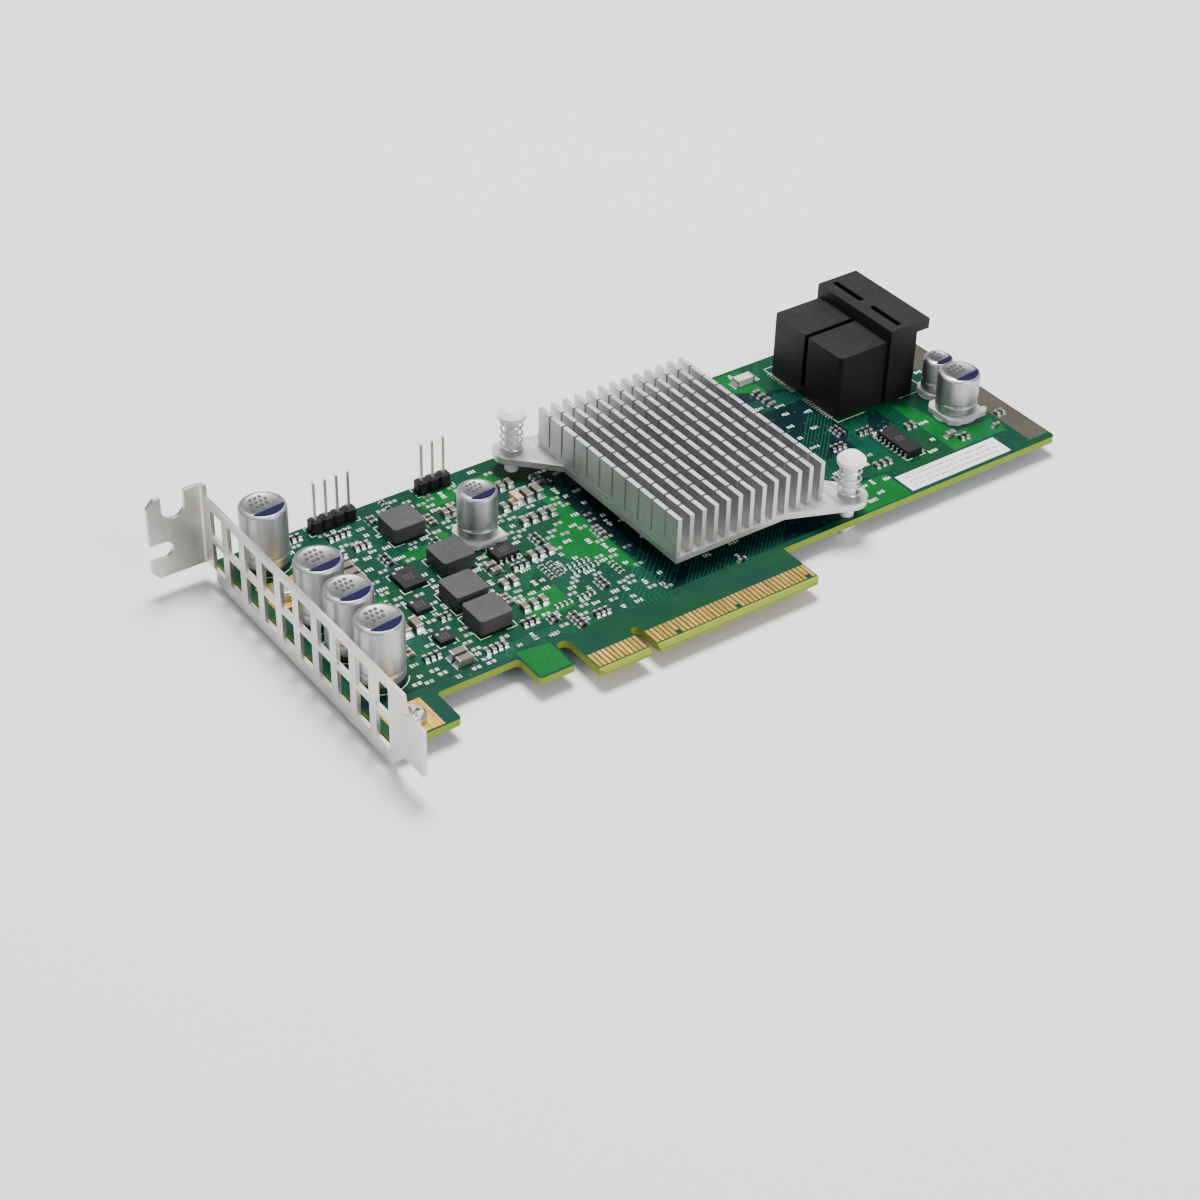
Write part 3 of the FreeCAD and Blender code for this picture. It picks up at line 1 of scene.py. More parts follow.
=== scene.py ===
"""Dresses the RAID controller card: finishes, solder, copper traces, printing and its studio."""

import math
import random

import bmesh
import bpy
from mathutils import Matrix, Vector


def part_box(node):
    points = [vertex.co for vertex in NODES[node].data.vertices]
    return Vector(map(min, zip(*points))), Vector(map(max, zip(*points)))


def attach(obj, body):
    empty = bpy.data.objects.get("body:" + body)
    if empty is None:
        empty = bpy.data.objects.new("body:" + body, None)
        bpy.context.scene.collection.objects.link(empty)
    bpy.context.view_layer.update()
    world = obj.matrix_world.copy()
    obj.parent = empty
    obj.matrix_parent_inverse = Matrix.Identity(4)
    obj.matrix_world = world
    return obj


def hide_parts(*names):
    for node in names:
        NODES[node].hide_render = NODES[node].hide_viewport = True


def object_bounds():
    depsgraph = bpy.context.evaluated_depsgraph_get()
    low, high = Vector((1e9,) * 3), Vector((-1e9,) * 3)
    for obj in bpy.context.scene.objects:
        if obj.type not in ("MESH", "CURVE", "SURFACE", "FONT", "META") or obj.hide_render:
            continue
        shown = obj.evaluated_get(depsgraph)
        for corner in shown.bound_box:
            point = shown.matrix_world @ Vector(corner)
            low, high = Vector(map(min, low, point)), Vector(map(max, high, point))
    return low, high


bl_info = {
    "name": "RAID Controller Card",
    "version": (1, 0, 0),
    "blender": (4, 5, 0),
    "location": "3D View > Sidebar > Card",
    "description": "Builds the finish and fine detail of a low-profile RAID controller card",
    "category": "Object",
}

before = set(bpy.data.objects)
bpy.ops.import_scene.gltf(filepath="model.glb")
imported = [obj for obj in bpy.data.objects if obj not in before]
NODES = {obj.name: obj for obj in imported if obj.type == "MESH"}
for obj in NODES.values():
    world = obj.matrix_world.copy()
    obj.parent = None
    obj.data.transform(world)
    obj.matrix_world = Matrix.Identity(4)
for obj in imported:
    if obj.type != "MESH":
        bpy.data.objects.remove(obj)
cad_low, cad_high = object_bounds()
ROOT = "root"
MM = 0.001

board_low, board_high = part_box("circuit_board")
FACE = board_high.z
BACK = board_low.z

# meshes, in metres
WELD = 1e-6
CLEAR = 1e-5
TOUCH = 0.45 * MM
FLAT_ANGLE = math.radians(0.6)
SMOOTH_ANGLE = math.radians(33.0)
SPRING_STEPS, WIRE_STEPS = 28, 10

# edge rounding: in metres, and as shares of the metal settings' rounding
CHIP_ROUND, PACKAGE_ROUND = 0.05 * MM, 0.06 * MM
SCREW_ROUND, PUSH_PIN_ROUND, CONNECTOR_ROUND, CAN_ROUND = 1.5, 2.0, 1.2, 2.2
HEADER_ROUND, INDUCTOR_ROUND, CHIP_BODY_ROUND = 0.7, 1.3, 0.6

# heatsink, in millimetres
SINK_X, SINK_Y = 33.8, 38.9
SINK_LENGTH, SINK_WIDTH, SINK_BASE = 35.8, 46.6, 1.5
RIB_HEIGHT, FIN_THICKNESS, CROSS_CUT = 1.2, 1.0, 0.5
FIN_ROWS, PINS_IN_ROW = 13, 11

# surfaces: grain and edge wear, metal, moulded pieces, and the board
EVEN = (1.0, 1.0, 1.0)
FINE_DETAIL, FINE_ROUGHNESS, CLOUD_DETAIL, CLOUD_SHARE = 4.0, 0.6, 3.0, 0.06
GRAIN_RANGE, WEAR_RANGE, WEAR_DETAIL = (0.3, 0.7), (0.50, 0.60), 3.0
# the can tops' painted shade fades in between the two upward shares of a face's normal in the last
# range
METAL_TONES, METAL_WORN, METAL_BUMP, PAINTED_TOP_RANGE = (0.30, 0.70, 1.05), 1.35, 0.4, (0.90, 0.98)
MOULDED_TONES, MOULDED_WORN, MOULDED_BUMP = [(0.30, 0.80), (0.70, 1.15, 0.002)], (1.6, 0.03), 0.5
BOARD_GRAIN, BOARD_DEPTH, BOARD_BUMP, MASK_CLOUD = 2600.0, 0.008, 0.3, 0.4
ZONE_SCALE, ZONE_DETAIL, ZONE_RANGE = 55.0, 1.0, (0.42, 0.58)
PLY_SCALE, PLY_BEND, PLY_SHADE, LAMINATE_ROUGHNESS = 900.0, 1.5, 0.55, 0.75
EDGE_BAND = 0.02 * MM
RESIN_IOR, MASK_SPECULAR, BLACK_SPECULAR = 1.5, 0.20, 0.22
FERRITE_SPECULAR, NAVY_SPECULAR = 0.30, 0.12

# board areas, in millimetres: above the tongue, and where small marks and pads may be
SHOULDER = 11.6
AREA_LEFT, AREA_RIGHT, AREA_BOTTOM, AREA_TOP = -53.0, 107.0, 13.0, 67.5
BUSY_END, QUIET_SHARE = 15.0, 0.12
MARK_MARGIN = 1.6

# pin headers' cut edges, as a share of a cell
HEADER_CUT = 0.17

# vias: share of their hole, rise over a trace's, least distances to the edge and to parts
VIA_SEED, VIA_TRIES, VIA_SIDES = 7, 1600, 12
VIA_HOLE, VIA_RISE, VIA_MARGIN, VIA_GAP = 0.45, 1.5, 1.0, 0.5
# rises of the copper areas, the deep areas (round the heatsink also painted shadow) and the far strip,
# as shares of a trace's rise
POUR_RISE, DEEP_AND_SHADOW_RISE, STRIP_RISE = 0.6, 0.4, 0.5

# printing, in millimetres
INK = 0.02 * MM
THIN_INK = 0.5 * INK
OUTLINE_GAP, CORNER_SHARE = 0.45, 0.3
OUTLINE_SWEEP, OUTLINE_STEPS = math.radians(330.0), 22
DASH_SEED, DASH_TRIES = 11, 1500
DASH_PITCH, DASH_LENGTH, DASH_WIDTH = 0.62, 0.95, 0.34
DASH_COUNTS, DASH_SIZES, UPRIGHT_SHARE = (2, 2, 3, 3, 4), (1.0, 1.0, 0.7), 0.3
DASH_END, DASH_HALF = 0.25, 0.6
LABEL_LINES, LABEL_START, LABEL_END, LABEL_HEIGHT = (0.24, 0.50, 0.76), 1.6, 1.8, 0.55
LABEL_LENGTHS, LABEL_SPACES = (0.35, 0.85), (0.25, 0.25, 0.25, 0.9)

# pairs of bare pads, in millimetres
PAD_SEED, PAD_TRIES = 5, 420
PAD_REACH, PAD_SIZE, PAD_RISE, PAD_SHIFT = (1.0, 0.5), (0.75, 0.85), 0.035, 0.55

# polarity mark on a can: share of its radius, and rise over the ink's
MARK_SHARE, MARK_STEPS, MARK_RISE = 0.88, 16, 0.6
MARK_TURN, MARK_HALF = math.radians(-84.0), math.radians(60.0)
CAN_TURN = MARK_TURN + math.pi / 2
# print: each line's count of dashes and place, their pitch and size, in radii or millimetres
CAN_PRINT = ((3, 0.52), (4, 0.26), (3, 0.0)), 0.22, (0.13, 0.15)
INDUCTOR_PRINT = ((3, -0.95), (3, 0.95)), 1.5, (0.8, 0.9)
CHIP_PRINT = ((3, -0.6), (3, 0.0), (3, 0.6)), 0.75, (0.5, 0.26)
DOT_INSET, DOT_RADIUS, DOT_SIDES = 0.7 * MM, 0.28 * MM, 16

# solder: rise of a joint up a part's end, its least length, and pins' joints below the board
JOINT_RISE, JOINT_LENGTH, JOINT_LEAST, JOINT_WIDTH = 0.62, 0.75, 0.25 * MM, 1.12
DOME_SIDES, DOME_RINGS, DOME_TAPER, DOME_CURVE = 12, 3, 0.72, 0.7
DOME_DEPTH = 0.8 * MM
PIN_JOINTS = (("four_pin_header_pins", 0.85 * MM), ("three_pin_header_pins", 0.85 * MM),
              ("capacitor_leads", 0.80 * MM))

CHIP_NODES = ("power_switch_chip_1", "power_switch_chip_2", "power_switch_chip_3",
              "regulator_chip", "flash_chip")
CHIP_PARTS = (
    # kind, finish, material slot
    ("ceramic_capacitor", "Ceramic brown", "ceramic_brown"),
    ("tan_capacitor", "Ceramic tan", "ceramic_tan"),
    ("chip_inductor", "Ceramic pale", "ceramic_pale"),
    ("chip_resistor", "Resistor black", "resistor_black"),
)
CANS = [f"capacitor_can_{number}" for number in range(1, 8)]
SEALS = [f"capacitor_seal_{number}" for number in range(1, 5)]
BASES = [f"capacitor_base_{number}" for number in range(5, 8)]
INDUCTORS = [f"inductor_{number}" for number in range(1, 5)]
DARK_INDUCTOR = "inductor_2"
OUTLINED_NODES = (*CHIP_NODES, *INDUCTORS, "four_pin_header_base", "three_pin_header_base",
                  "controller_package", "sas_connector")

# studio, in metres and watts
FLOOR_HALF = 12.0
SKY_COLOUR, SKY_STRENGTH = (0.93, 0.95, 1.0, 1.0), 0.46
SENSOR_MM, NEAREST = 36.0, 0.01
CARD_MIDDLE = (0.022, 0.032, 0.0)
STUDIO_LIGHTS = (
    # name, place, size, power
    ("Top", (0.14, 0.26, 0.93), 0.42, 18.0),
    ("Front", (0.25, -0.85, 0.40), 0.5, 5.0),
    ("Side", (-0.80, -0.10, 0.40), 0.5, 0.8),
)


# ------------------------------------------------------------------ settings

def colour_prop(name, description, value):
    return bpy.props.FloatVectorProperty(name=name, description=description, subtype="COLOR",
                                         default=value, min=0.0, max=1.0)


def length_prop(name, description, millimetres):
    return bpy.props.FloatProperty(name=name, description=description, unit="LENGTH",
                                   default=millimetres * MM)


def angle_prop(name, description, degrees):
    return bpy.props.FloatProperty(name=name, description=description, subtype="ANGLE",
                                   default=math.radians(degrees))


class CardBoardSettings(bpy.types.PropertyGroup):
    """Colours and copper of the circuit board."""

    mask_colour: colour_prop("Solder mask", "Green of the mask over copper", (0.002, 0.105, 0.017))
    deep_colour: colour_prop("Deep mask", "Green of the mask over bare laminate", (0.001, 0.028, 0.015))
    teal_colour: colour_prop("Teal mask", "Blue-green of densely routed areas", (0.001, 0.023, 0.026))
    edge_colour: colour_prop("Laminate edge", "Cut edge of the laminate", (0.23, 0.30, 0.03))
    trace_width: length_prop("Trace width", "Width of a raised copper trace", 0.17)
    trace_rise: length_prop("Trace rise", "Height of a trace under the mask", 0.03)
    ink_width: length_prop("Ink width", "Width of a printed outline", 0.16)
    ink_rise: length_prop("Ink rise", "Thickness of the printed ink", 0.02)
    via_radius: length_prop("Via radius", "Outer radius of a via's ring", 0.30)
    via_spacing: length_prop("Via spacing", "Least distance between two vias", 1.5)


class CardMetalSettings(bpy.types.PropertyGroup):
    """Edges and colours of the metal parts."""

    edge_round: length_prop("Edge rounding", "Rounding of moulded and pressed edges", 0.12)
    fin_round: length_prop("Fin rounding", "Rounding of the heatsink's fins", 0.07)
    sink_colour: colour_prop("Heatsink", "Satin aluminium", (0.54, 0.54, 0.545))
    bracket_colour: colour_prop("Bracket", "Nickel-plated sheet", (0.58, 0.572, 0.535))
    gold_colour: colour_prop("Gold", "Gold plating of the contacts", (0.90, 0.53, 0.11))
    can_colour: colour_prop("Can", "Drawn aluminium of the capacitor cans", (0.50, 0.50, 0.505))
    # painted shade: the cans' upward faces get this darker colour; their aluminium is the same as the
    # sides'
    lid_colour: colour_prop("Can lid", "Duller aluminium of a can's top", (0.19, 0.19, 0.193))
    mark_colour: colour_prop("Polarity mark", "Printed segment on a can", (0.006, 0.004, 0.040))
    spring_wire: length_prop("Spring wire", "Diameter of the push pins' spring wire", 0.5)
    spring_turns: bpy.props.FloatProperty(
        name="Spring turns", description="Turns of a push pin's spring", default=4.0)


class CardStudioSettings(bpy.types.PropertyGroup):
    """Camera and floor."""

    azimuth: angle_prop("Azimuth", "Camera's turn round the card", -36.4)
    elevation: angle_prop("Elevation", "Camera's height above the horizon", 37.1)
    roll: angle_prop("Roll", "Camera's roll", 1.67)
    distance: length_prop("Distance", "Camera's distance from its aim", 467.5)
    aim: bpy.props.FloatVectorProperty(
        name="Aim", description="Point the camera looks at", default=(0.0005, 0.0187, 0.0),
        unit="LENGTH")
    lens: bpy.props.FloatProperty(
        name="Lens", description="Focal length in millimetres", default=74.3)
    floor_colour: colour_prop("Floor", "Plain pale floor", (0.87, 0.87, 0.87))


SETTINGS = {
    "card_board": CardBoardSettings,
    "card_metal": CardMetalSettings,
    "card_studio": CardStudioSettings,
}


def setting(value):
    """A colour as it is, or the value of the setting that it names."""
    if not isinstance(value, str):
        return value
    group, key = value.split(".")
    return getattr(getattr(bpy.context.scene, group), key)[:]


# ------------------------------------------------------------------ node trees

class Tree:
    """A node tree under construction, for geometry, shading or a shared group."""

    def __init__(self, tree):
        self.tree = tree

    @classmethod
    def group(cls, name, kind, inputs, outputs):
        """A new node group with named sockets; an input is (name, type, default)."""
        made = cls(bpy.data.node_groups.new(name, kind))
        sockets = made.tree.interface
        for label, socket, value in inputs:
            item = sockets.new_socket(label, in_out="INPUT", socket_type=f"NodeSocket{socket}")
            if value is not None:
                item.default_value = value
        for label, socket in outputs:
            sockets.new_socket(label, in_out="OUTPUT", socket_type=f"NodeSocket{socket}")
        made.start = made.node("NodeGroupInput").outputs
        made.end = made.node("NodeGroupOutput").inputs
        return made

    @classmethod
    def shape(cls, name, *inputs):
        """A new geometry group, with its own inputs between the geometry and the finish."""
        return cls.group(name, "GeometryNodeTree",
                         [("Geometry", "Geometry", None), *inputs, ("Finish", "Material", None)],
                         [("Geometry", "Geometry")])

    def close(self, result):
        """Ends a geometry group in real geometry with its finish."""
        real = self.add("GeometryNodeRealizeInstances", {"Geometry": result})
        done = self.add("GeometryNodeSetMaterial",
                        {"Geometry": real, "Material": self.start["Finish"]})
        self.link(done, self.end["Geometry"])
        return self.tree

    def node(self, kind, inputs=None, **settings):
        """A node with its settings, and its inputs set to values or linked from sockets."""
        node = self.tree.nodes.new(kind)
        for key, value in settings.items():
            setattr(node, key, value)
        for key, value in (inputs or {}).items():
            if isinstance(value, bpy.types.NodeSocket):
                self.link(value, node.inputs[key])
            else:
                node.inputs[key].default_value = value
        return node

    def add(self, kind, inputs=None, **settings):
        """The first output of a new node."""
        return self.node(kind, inputs, **settings).outputs[0]

    def link(self, source, target):
        self.tree.links.new(source, target)

    def math(self, operation, first, second=0.0, clamp=False):
        return self.add("ShaderNodeMath", {0: first, 1: second}, operation=operation,
                        use_clamp=clamp)

    def vector(self, operation, first, second):
        return self.add("ShaderNodeVectorMath", {0: first, 1: second}, operation=operation)

    def place(self):
        return self.node("ShaderNodeTexCoord").outputs["Object"]

    def upward(self, vector):
        return self.node("ShaderNodeSeparateXYZ", {0: vector}).outputs["Z"]

    def noise(self, place, scale, detail, roughness=0.5):
        return self.add("ShaderNodeTexNoise", {"Vector": place, "Scale": scale, "Detail": detail,
                                               "Roughness": roughness})

    def ramp(self, value, stops):
        """A smooth ramp from value, with stops of (position, colour)."""
        node = self.node("ShaderNodeValToRGB", {"Fac": value})
        elements = node.color_ramp.elements
        for element, stop in zip(elements, (stops[0], stops[-1])):
            element.position, element.color = stop
        for position, colour in stops[1:-1]:
            elements.new(position).color = colour
        return node.outputs["Color"]

    def step(self, value, low, high):
        """A mask that goes from nothing to full between two values."""
        return self.ramp(value, [(low, tint(EVEN, 0.0)), (high, tint(EVEN))])

    def mix(self, factor, first, second):
        """A colour between two, by a factor."""
        return self.node("ShaderNodeMix", {0: factor, 6: first, 7: second},
                         data_type="RGBA").outputs[2]


def tint(colour, factor=1.0, lift=0.0):
    """A colour made darker or lighter, with its alpha."""
    return (*[min(1.0, level * factor + lift) for level in colour[:3]], 1.0)


def grain_group(name):
    """Surface grain: a fine and a cloudy value about a half that change over the surface."""
    tree = Tree.group(name, "ShaderNodeTree",
                      [("Scale", "Float", 1500.0), ("Stretch", "Vector", None)],
                      [("Fine", "Float"), ("Cloud", "Float")])
    place, scale = tree.place(), tree.start["Scale"]
    stretched = tree.vector("MULTIPLY", place, tree.start["Stretch"])
    tree.link(tree.noise(stretched, scale, FINE_DETAIL, FINE_ROUGHNESS), tree.end["Fine"])
    coarse = tree.math("MULTIPLY", scale, CLOUD_SHARE)
    tree.link(tree.noise(place, coarse, CLOUD_DETAIL), tree.end["Cloud"])
    return tree.tree


def wear_group(name):
    """Bright worn edges, as a mask."""
    tree = Tree.group(name, "ShaderNodeTree",
                      [("Amount", "Float", 1.0), ("Scale", "Float", 900.0)], [("Edge", "Float")])
    sharp = tree.step(tree.node("ShaderNodeNewGeometry").outputs["Pointiness"], *WEAR_RANGE)
    noise = tree.noise(tree.place(), tree.start["Scale"], WEAR_DETAIL)
    broken = tree.math("MULTIPLY", sharp, noise)
    worn = tree.math("MULTIPLY", broken, tree.start["Amount"], clamp=True)
    tree.link(worn, tree.end["Edge"])
    return tree.tree


class Finish(Tree):
    """A material under construction round one Principled BSDF, with the grain of its surface."""

    def __init__(self, name, scale, stretch=EVEN, **values):
        self.material = bpy.data.materials.new(name)
        self.material.use_nodes = True
        super().__init__(self.material.node_tree)
        self.shader = self.tree.nodes["Principled BSDF"].inputs
        for key, value in values.items():
            self.shader[key.replace("_", " ")].default_value = value
        grain = self.node("ShaderNodeGroup", {"Scale": scale, "Stretch": stretch},
                          node_tree=node_group("Surface Grain"))
        self.fine, self.cloud = grain.outputs["Fine"], grain.outputs["Cloud"]

    def toned(self, colour, tones):
        """A cloudy colour, from tones of (position, factor, lift)."""
        return self.ramp(self.cloud, [(tone[0], tint(colour, *tone[1:])) for tone in tones])

    def worn(self, shade, colour, amount):
        """A shade with another colour on its worn edges."""
        wear = self.add("ShaderNodeGroup", {"Amount": amount}, node_tree=node_group("Edge Wear"))
        return self.mix(wear, shade, colour)

    def rough(self, low, high, reach=GRAIN_RANGE):
        """A roughness between two limits that follows the fine grain over its reach."""
        return self.add("ShaderNodeMapRange", {
            "Value": self.fine, "From Min": reach[0], "From Max": reach[1], "To Min": low,
            "To Max": high})

    def cover(self, shade, rough, depth=0.0, strength=0.0):
        """Feeds the shader: a colour, a roughness and bumps of a depth in millimetres."""
        self.link(shade, self.shader["Base Color"])
        self.link(rough, self.shader["Roughness"])
        if depth:
            bump = self.add("ShaderNodeBump", {"Height": self.fine, "Distance": depth * MM,
                                               "Strength": strength})
            self.link(bump, self.shader["Normal"])
        return self.material


def finish(name):
    """A material by name; each is built once, from its row in FINISHES."""
    found = bpy.data.materials.get(name)
    if found:
        return found
    make, colour, low, high, values = FINISHES[name]
    return make(name, setting(colour), low, high, **values)


# ------------------------------------------------------------------ finishes

def metal(name, colour, low, high, scale=1400.0, stretch=EVEN, depth=0.01, wear=0.6,
          patches=0.86, lid=None):
    """Satin metal with fine grain, cloudy tone and brighter edges; upward faces may get a darker
    colour, painted shade.
    """
    look = Finish(name, scale, stretch, Metallic=1.0)
    dull, bright, gain = METAL_TONES
    tone = look.toned(colour, [(dull, patches), (bright, gain)])
    shade = look.worn(tone, tint(colour, METAL_WORN), wear)
    # painted shade: faces that look up take the darker top colour
    if lid:
        upward = look.upward(look.node("ShaderNodeNewGeometry").outputs["Normal"])
        shade = look.mix(look.step(upward, *PAINTED_TOP_RANGE), shade, tint(setting(lid)))
    return look.cover(shade, look.rough(low, high), depth, METAL_BUMP)


def moulded(name, colour, low, high, scale=2200.0, depth=0.02, wear=0.35, **values):
    """A moulded surface with fine texture and slightly rubbed edges."""
    look = Finish(name, scale, **values)
    shade = look.worn(look.toned(colour, MOULDED_TONES), tint(colour, *MOULDED_WORN), wear)
    return look.cover(shade, look.rough(low, high), depth, MOULDED_BUMP)


def coated(name, colour, low, high, scale, tones, depth=0.0, strength=0.4, **values):
    """A thin coat whose colour is a little cloudy: masked copper, ink, film or floor."""
    look = Finish(name, scale, **values)
    return look.cover(look.toned(colour, tones), look.rough(low, high), depth, strength)


def masked_board(name, colour, low, high):
    """Solder mask over bare laminate on the faces, and the cut laminate on the edges."""
    values = bpy.context.scene.card_board
    look = Finish(name, BOARD_GRAIN, IOR=RESIN_IOR, Specular_IOR_Level=MASK_SPECULAR)
    place = look.place()
    height = look.math("ABSOLUTE", look.upward(place))
    on_face = look.math("GREATER_THAN", height, FACE - EDGE_BAND)
    zones = look.step(look.noise(place, ZONE_SCALE, ZONE_DETAIL), *ZONE_RANGE)
    mask = look.mix(zones, tint(values.deep_colour), tint(values.teal_colour))
    shade = look.mix(look.math("MULTIPLY", look.cloud, MASK_CLOUD), mask, tint(colour))
    plies = look.node("ShaderNodeTexWave", {"Vector": place, "Scale": PLY_SCALE,
                                            "Distortion": PLY_BEND},
                      bands_direction="Z").outputs[1]
    laminate = look.mix(look.math("MULTIPLY", plies, look.fine), tint(values.edge_colour),
                        tint(values.edge_colour, PLY_SHADE))
    gloss = look.rough(low, high, (0.0, 1.0))
    rough = look.add("ShaderNodeMix", {0: on_face, 2: LAMINATE_ROUGHNESS, 3: gloss},
                     data_type="FLOAT")
    return look.cover(look.mix(on_face, laminate, shade), rough, BOARD_DEPTH, BOARD_BUMP)


COPPER = {"scale": 1800.0, "tones": [(0.32, 0.86), (0.52, 1.0), (0.72, 1.10)], "depth": 0.012,
          "strength": 0.35, "IOR": RESIN_IOR, "Specular_IOR_Level": MASK_SPECULAR}
INK_FILM = {"scale": 2800.0, "tones": [(0.3, 0.82), (0.6, 1.0)], "depth": 0.006}
GOLD = {"scale": 1700.0, "stretch": (1.0, 0.08, 1.0), "depth": 0.006, "wear": 0.3}
BLACK = {"Specular_IOR_Level": BLACK_SPECULAR}

INKS = {
    "White ink": (0.80, 0.80, 0.78),
    "Grey ink": (0.42, 0.42, 0.42),
    "Can print": (0.075, 0.075, 0.078),
    "Chip print": (0.045, 0.045, 0.045),
    "Ferrite print": (0.036, 0.036, 0.037),
    "Label print": (0.40, 0.40, 0.40),
}

FINISHES = {
    # name: maker, colour or its setting, least and most roughness, further values
    "Solder mask": (masked_board, "card_board.mask_colour", 0.24, 0.36, {}),
    "Mask over copper": (coated, "card_board.mask_colour", 0.22, 0.34, COPPER),
    "Mask over traces": (coated, (0.005, 0.092, 0.042), 0.24, 0.36, COPPER),
    # dark mask over the deep layers, and painted shadow round the heatsink's base
    "Mask over deep layers": (coated, (0.0008, 0.012, 0.015), 0.26, 0.38, COPPER),
    "Bare strip": (coated, (0.062, 0.056, 0.042), 0.40, 0.56, COPPER),
    "Gold plating": (metal, "card_metal.gold_colour", 0.22, 0.38, GOLD),
    "Contact gold": (metal, "card_metal.gold_colour", 0.22, 0.38, GOLD),
    "Heatsink aluminium": (metal, "card_metal.sink_colour", 0.38, 0.54, {
        "scale": 900.0, "stretch": (1.0, 0.12, 0.6), "depth": 0.02, "wear": 0.9}),
    "Bracket nickel": (metal, "card_metal.bracket_colour", 0.30, 0.48, {
        "scale": 700.0, "stretch": (1.0, 0.10, 1.0), "depth": 0.012, "wear": 0.7,
        "patches": 0.62}),
    "Screw nickel": (metal, (0.74, 0.72, 0.66), 0.22, 0.38, {}),
    # the cans' tops get a darker colour, painted shade
    "Can aluminium": (metal, "card_metal.can_colour", 0.36, 0.52, {
        "scale": 1100.0, "stretch": (1.0, 1.0, 0.06), "wear": 0.5,
        "lid": "card_metal.lid_colour"}),
    "Header pins": (metal, (0.93, 0.88, 0.74), 0.28, 0.42, {}),
    "Spring steel": (metal, (0.78, 0.78, 0.80), 0.20, 0.34, {}),
    "Solder": (metal, (0.66, 0.67, 0.68), 0.22, 0.42, {"scale": 2600.0, "depth": 0.02, "wear": 0.4}),
    "Tinned metal": (metal, (0.70, 0.70, 0.70), 0.24, 0.40, {"scale": 2000.0}),
    "Connector black": (moulded, (0.004, 0.004, 0.0042), 0.42, 0.60, {"scale": 2600.0, **BLACK}),
    "Header black": (moulded, (0.006, 0.006, 0.0065), 0.40, 0.58, BLACK),
    "Chip black": (moulded, (0.006, 0.006, 0.007), 0.46, 0.64, {"scale": 3600.0, **BLACK}),
    "Push pin nylon": (moulded, (0.82, 0.82, 0.80), 0.26, 0.42, {
        "scale": 900.0, "depth": 0.01, "wear": 0.2, "Subsurface_Weight": 0.12,
        "Subsurface_Scale": 0.6 * MM}),
    "Ferrite grey": (moulded, (0.046, 0.046, 0.047), 0.55, 0.75, {
        "scale": 3200.0, "depth": 0.035, "Specular_IOR_Level": FERRITE_SPECULAR}),
    "Ferrite dark": (moulded, (0.022, 0.022, 0.023), 0.50, 0.70, {"scale": 3200.0}),
    "Package laminate": (moulded, (0.010, 0.060, 0.030), 0.32, 0.50, {}),
    "Die silicon": (moulded, (0.10, 0.10, 0.11), 0.12, 0.24, {}),
    "Thermal compound": (moulded, (0.45, 0.45, 0.46), 0.60, 0.80, {}),
    "Seal rubber": (moulded, (0.020, 0.020, 0.021), 0.60, 0.80, {}),
    "Base moulding": (moulded, (0.52, 0.52, 0.50), 0.45, 0.65, {}),
    "Ceramic brown": (moulded, (0.115, 0.088, 0.066), 0.40, 0.60, {}),
    "Ceramic tan": (moulded, (0.62, 0.36, 0.13), 0.40, 0.60, {}),
    "Ceramic pale": (moulded, (0.52, 0.50, 0.45), 0.45, 0.65, {}),
    "Resistor black": (moulded, (0.010, 0.010, 0.012), 0.30, 0.45, {}),
    "Navy ink": (coated, "card_metal.mark_colour", 0.50, 0.64, {
        "Specular_IOR_Level": NAVY_SPECULAR, **INK_FILM}),
    "Label film": (coated, (0.84, 0.84, 0.84), 0.42, 0.62, {
        "scale": 1500.0, "tones": [(0.3, 0.881), (0.7, 1.0)], "depth": 0.01, "strength": 0.3}),
    "Studio floor": (coated, "card_studio.floor_colour", 0.78, 0.88, {
        "scale": 90.0, "tones": [(0.2, 0.985), (0.8, 1.0)]}),
    **{name: (coated, colour, 0.55, 0.75, INK_FILM) for name, colour in INKS.items()},
}


# ------------------------------------------------------------------ geometry trees

def ribbon_tree(name):
    """Sweeps a flat bar along each path of edges, for traces and printed lines."""
    tree = Tree.shape(name, ("Width", "Float", 0.2 * MM), ("Rise", "Float", 0.03 * MM))
    paths = tree.add("GeometryNodeMeshToCurve", {"Mesh": tree.start["Geometry"]})
    both = tree.math("MULTIPLY", tree.start["Rise"], 2.0)
    bar = tree.add("GeometryNodeCurvePrimitiveQuadrilateral",
                   {"Width": tree.start["Width"], "Height": both})
    return tree.close(tree.add("GeometryNodeCurveToMesh", {
        "Curve": paths, "Profile Curve": bar, "Fill Caps": True}))


def scatter_tree(name):
    """Sets a shape on each point, turned and sized by the point's own values."""
    tree = Tree.shape(name, ("Shape", "Object", None))
    shape = tree.node("GeometryNodeObjectInfo", {"Object": tree.start["Shape"]},
                      transform_space="ORIGINAL")
    turn, spread = [tree.add("GeometryNodeInputNamedAttribute", {"Name": key},
                             data_type="FLOAT_VECTOR") for key in ("turn", "spread")]
    return tree.close(tree.add("GeometryNodeInstanceOnPoints", {
        "Points": tree.start["Geometry"], "Instance": shape.outputs["Geometry"],
        "Rotation": turn, "Scale": spread}))


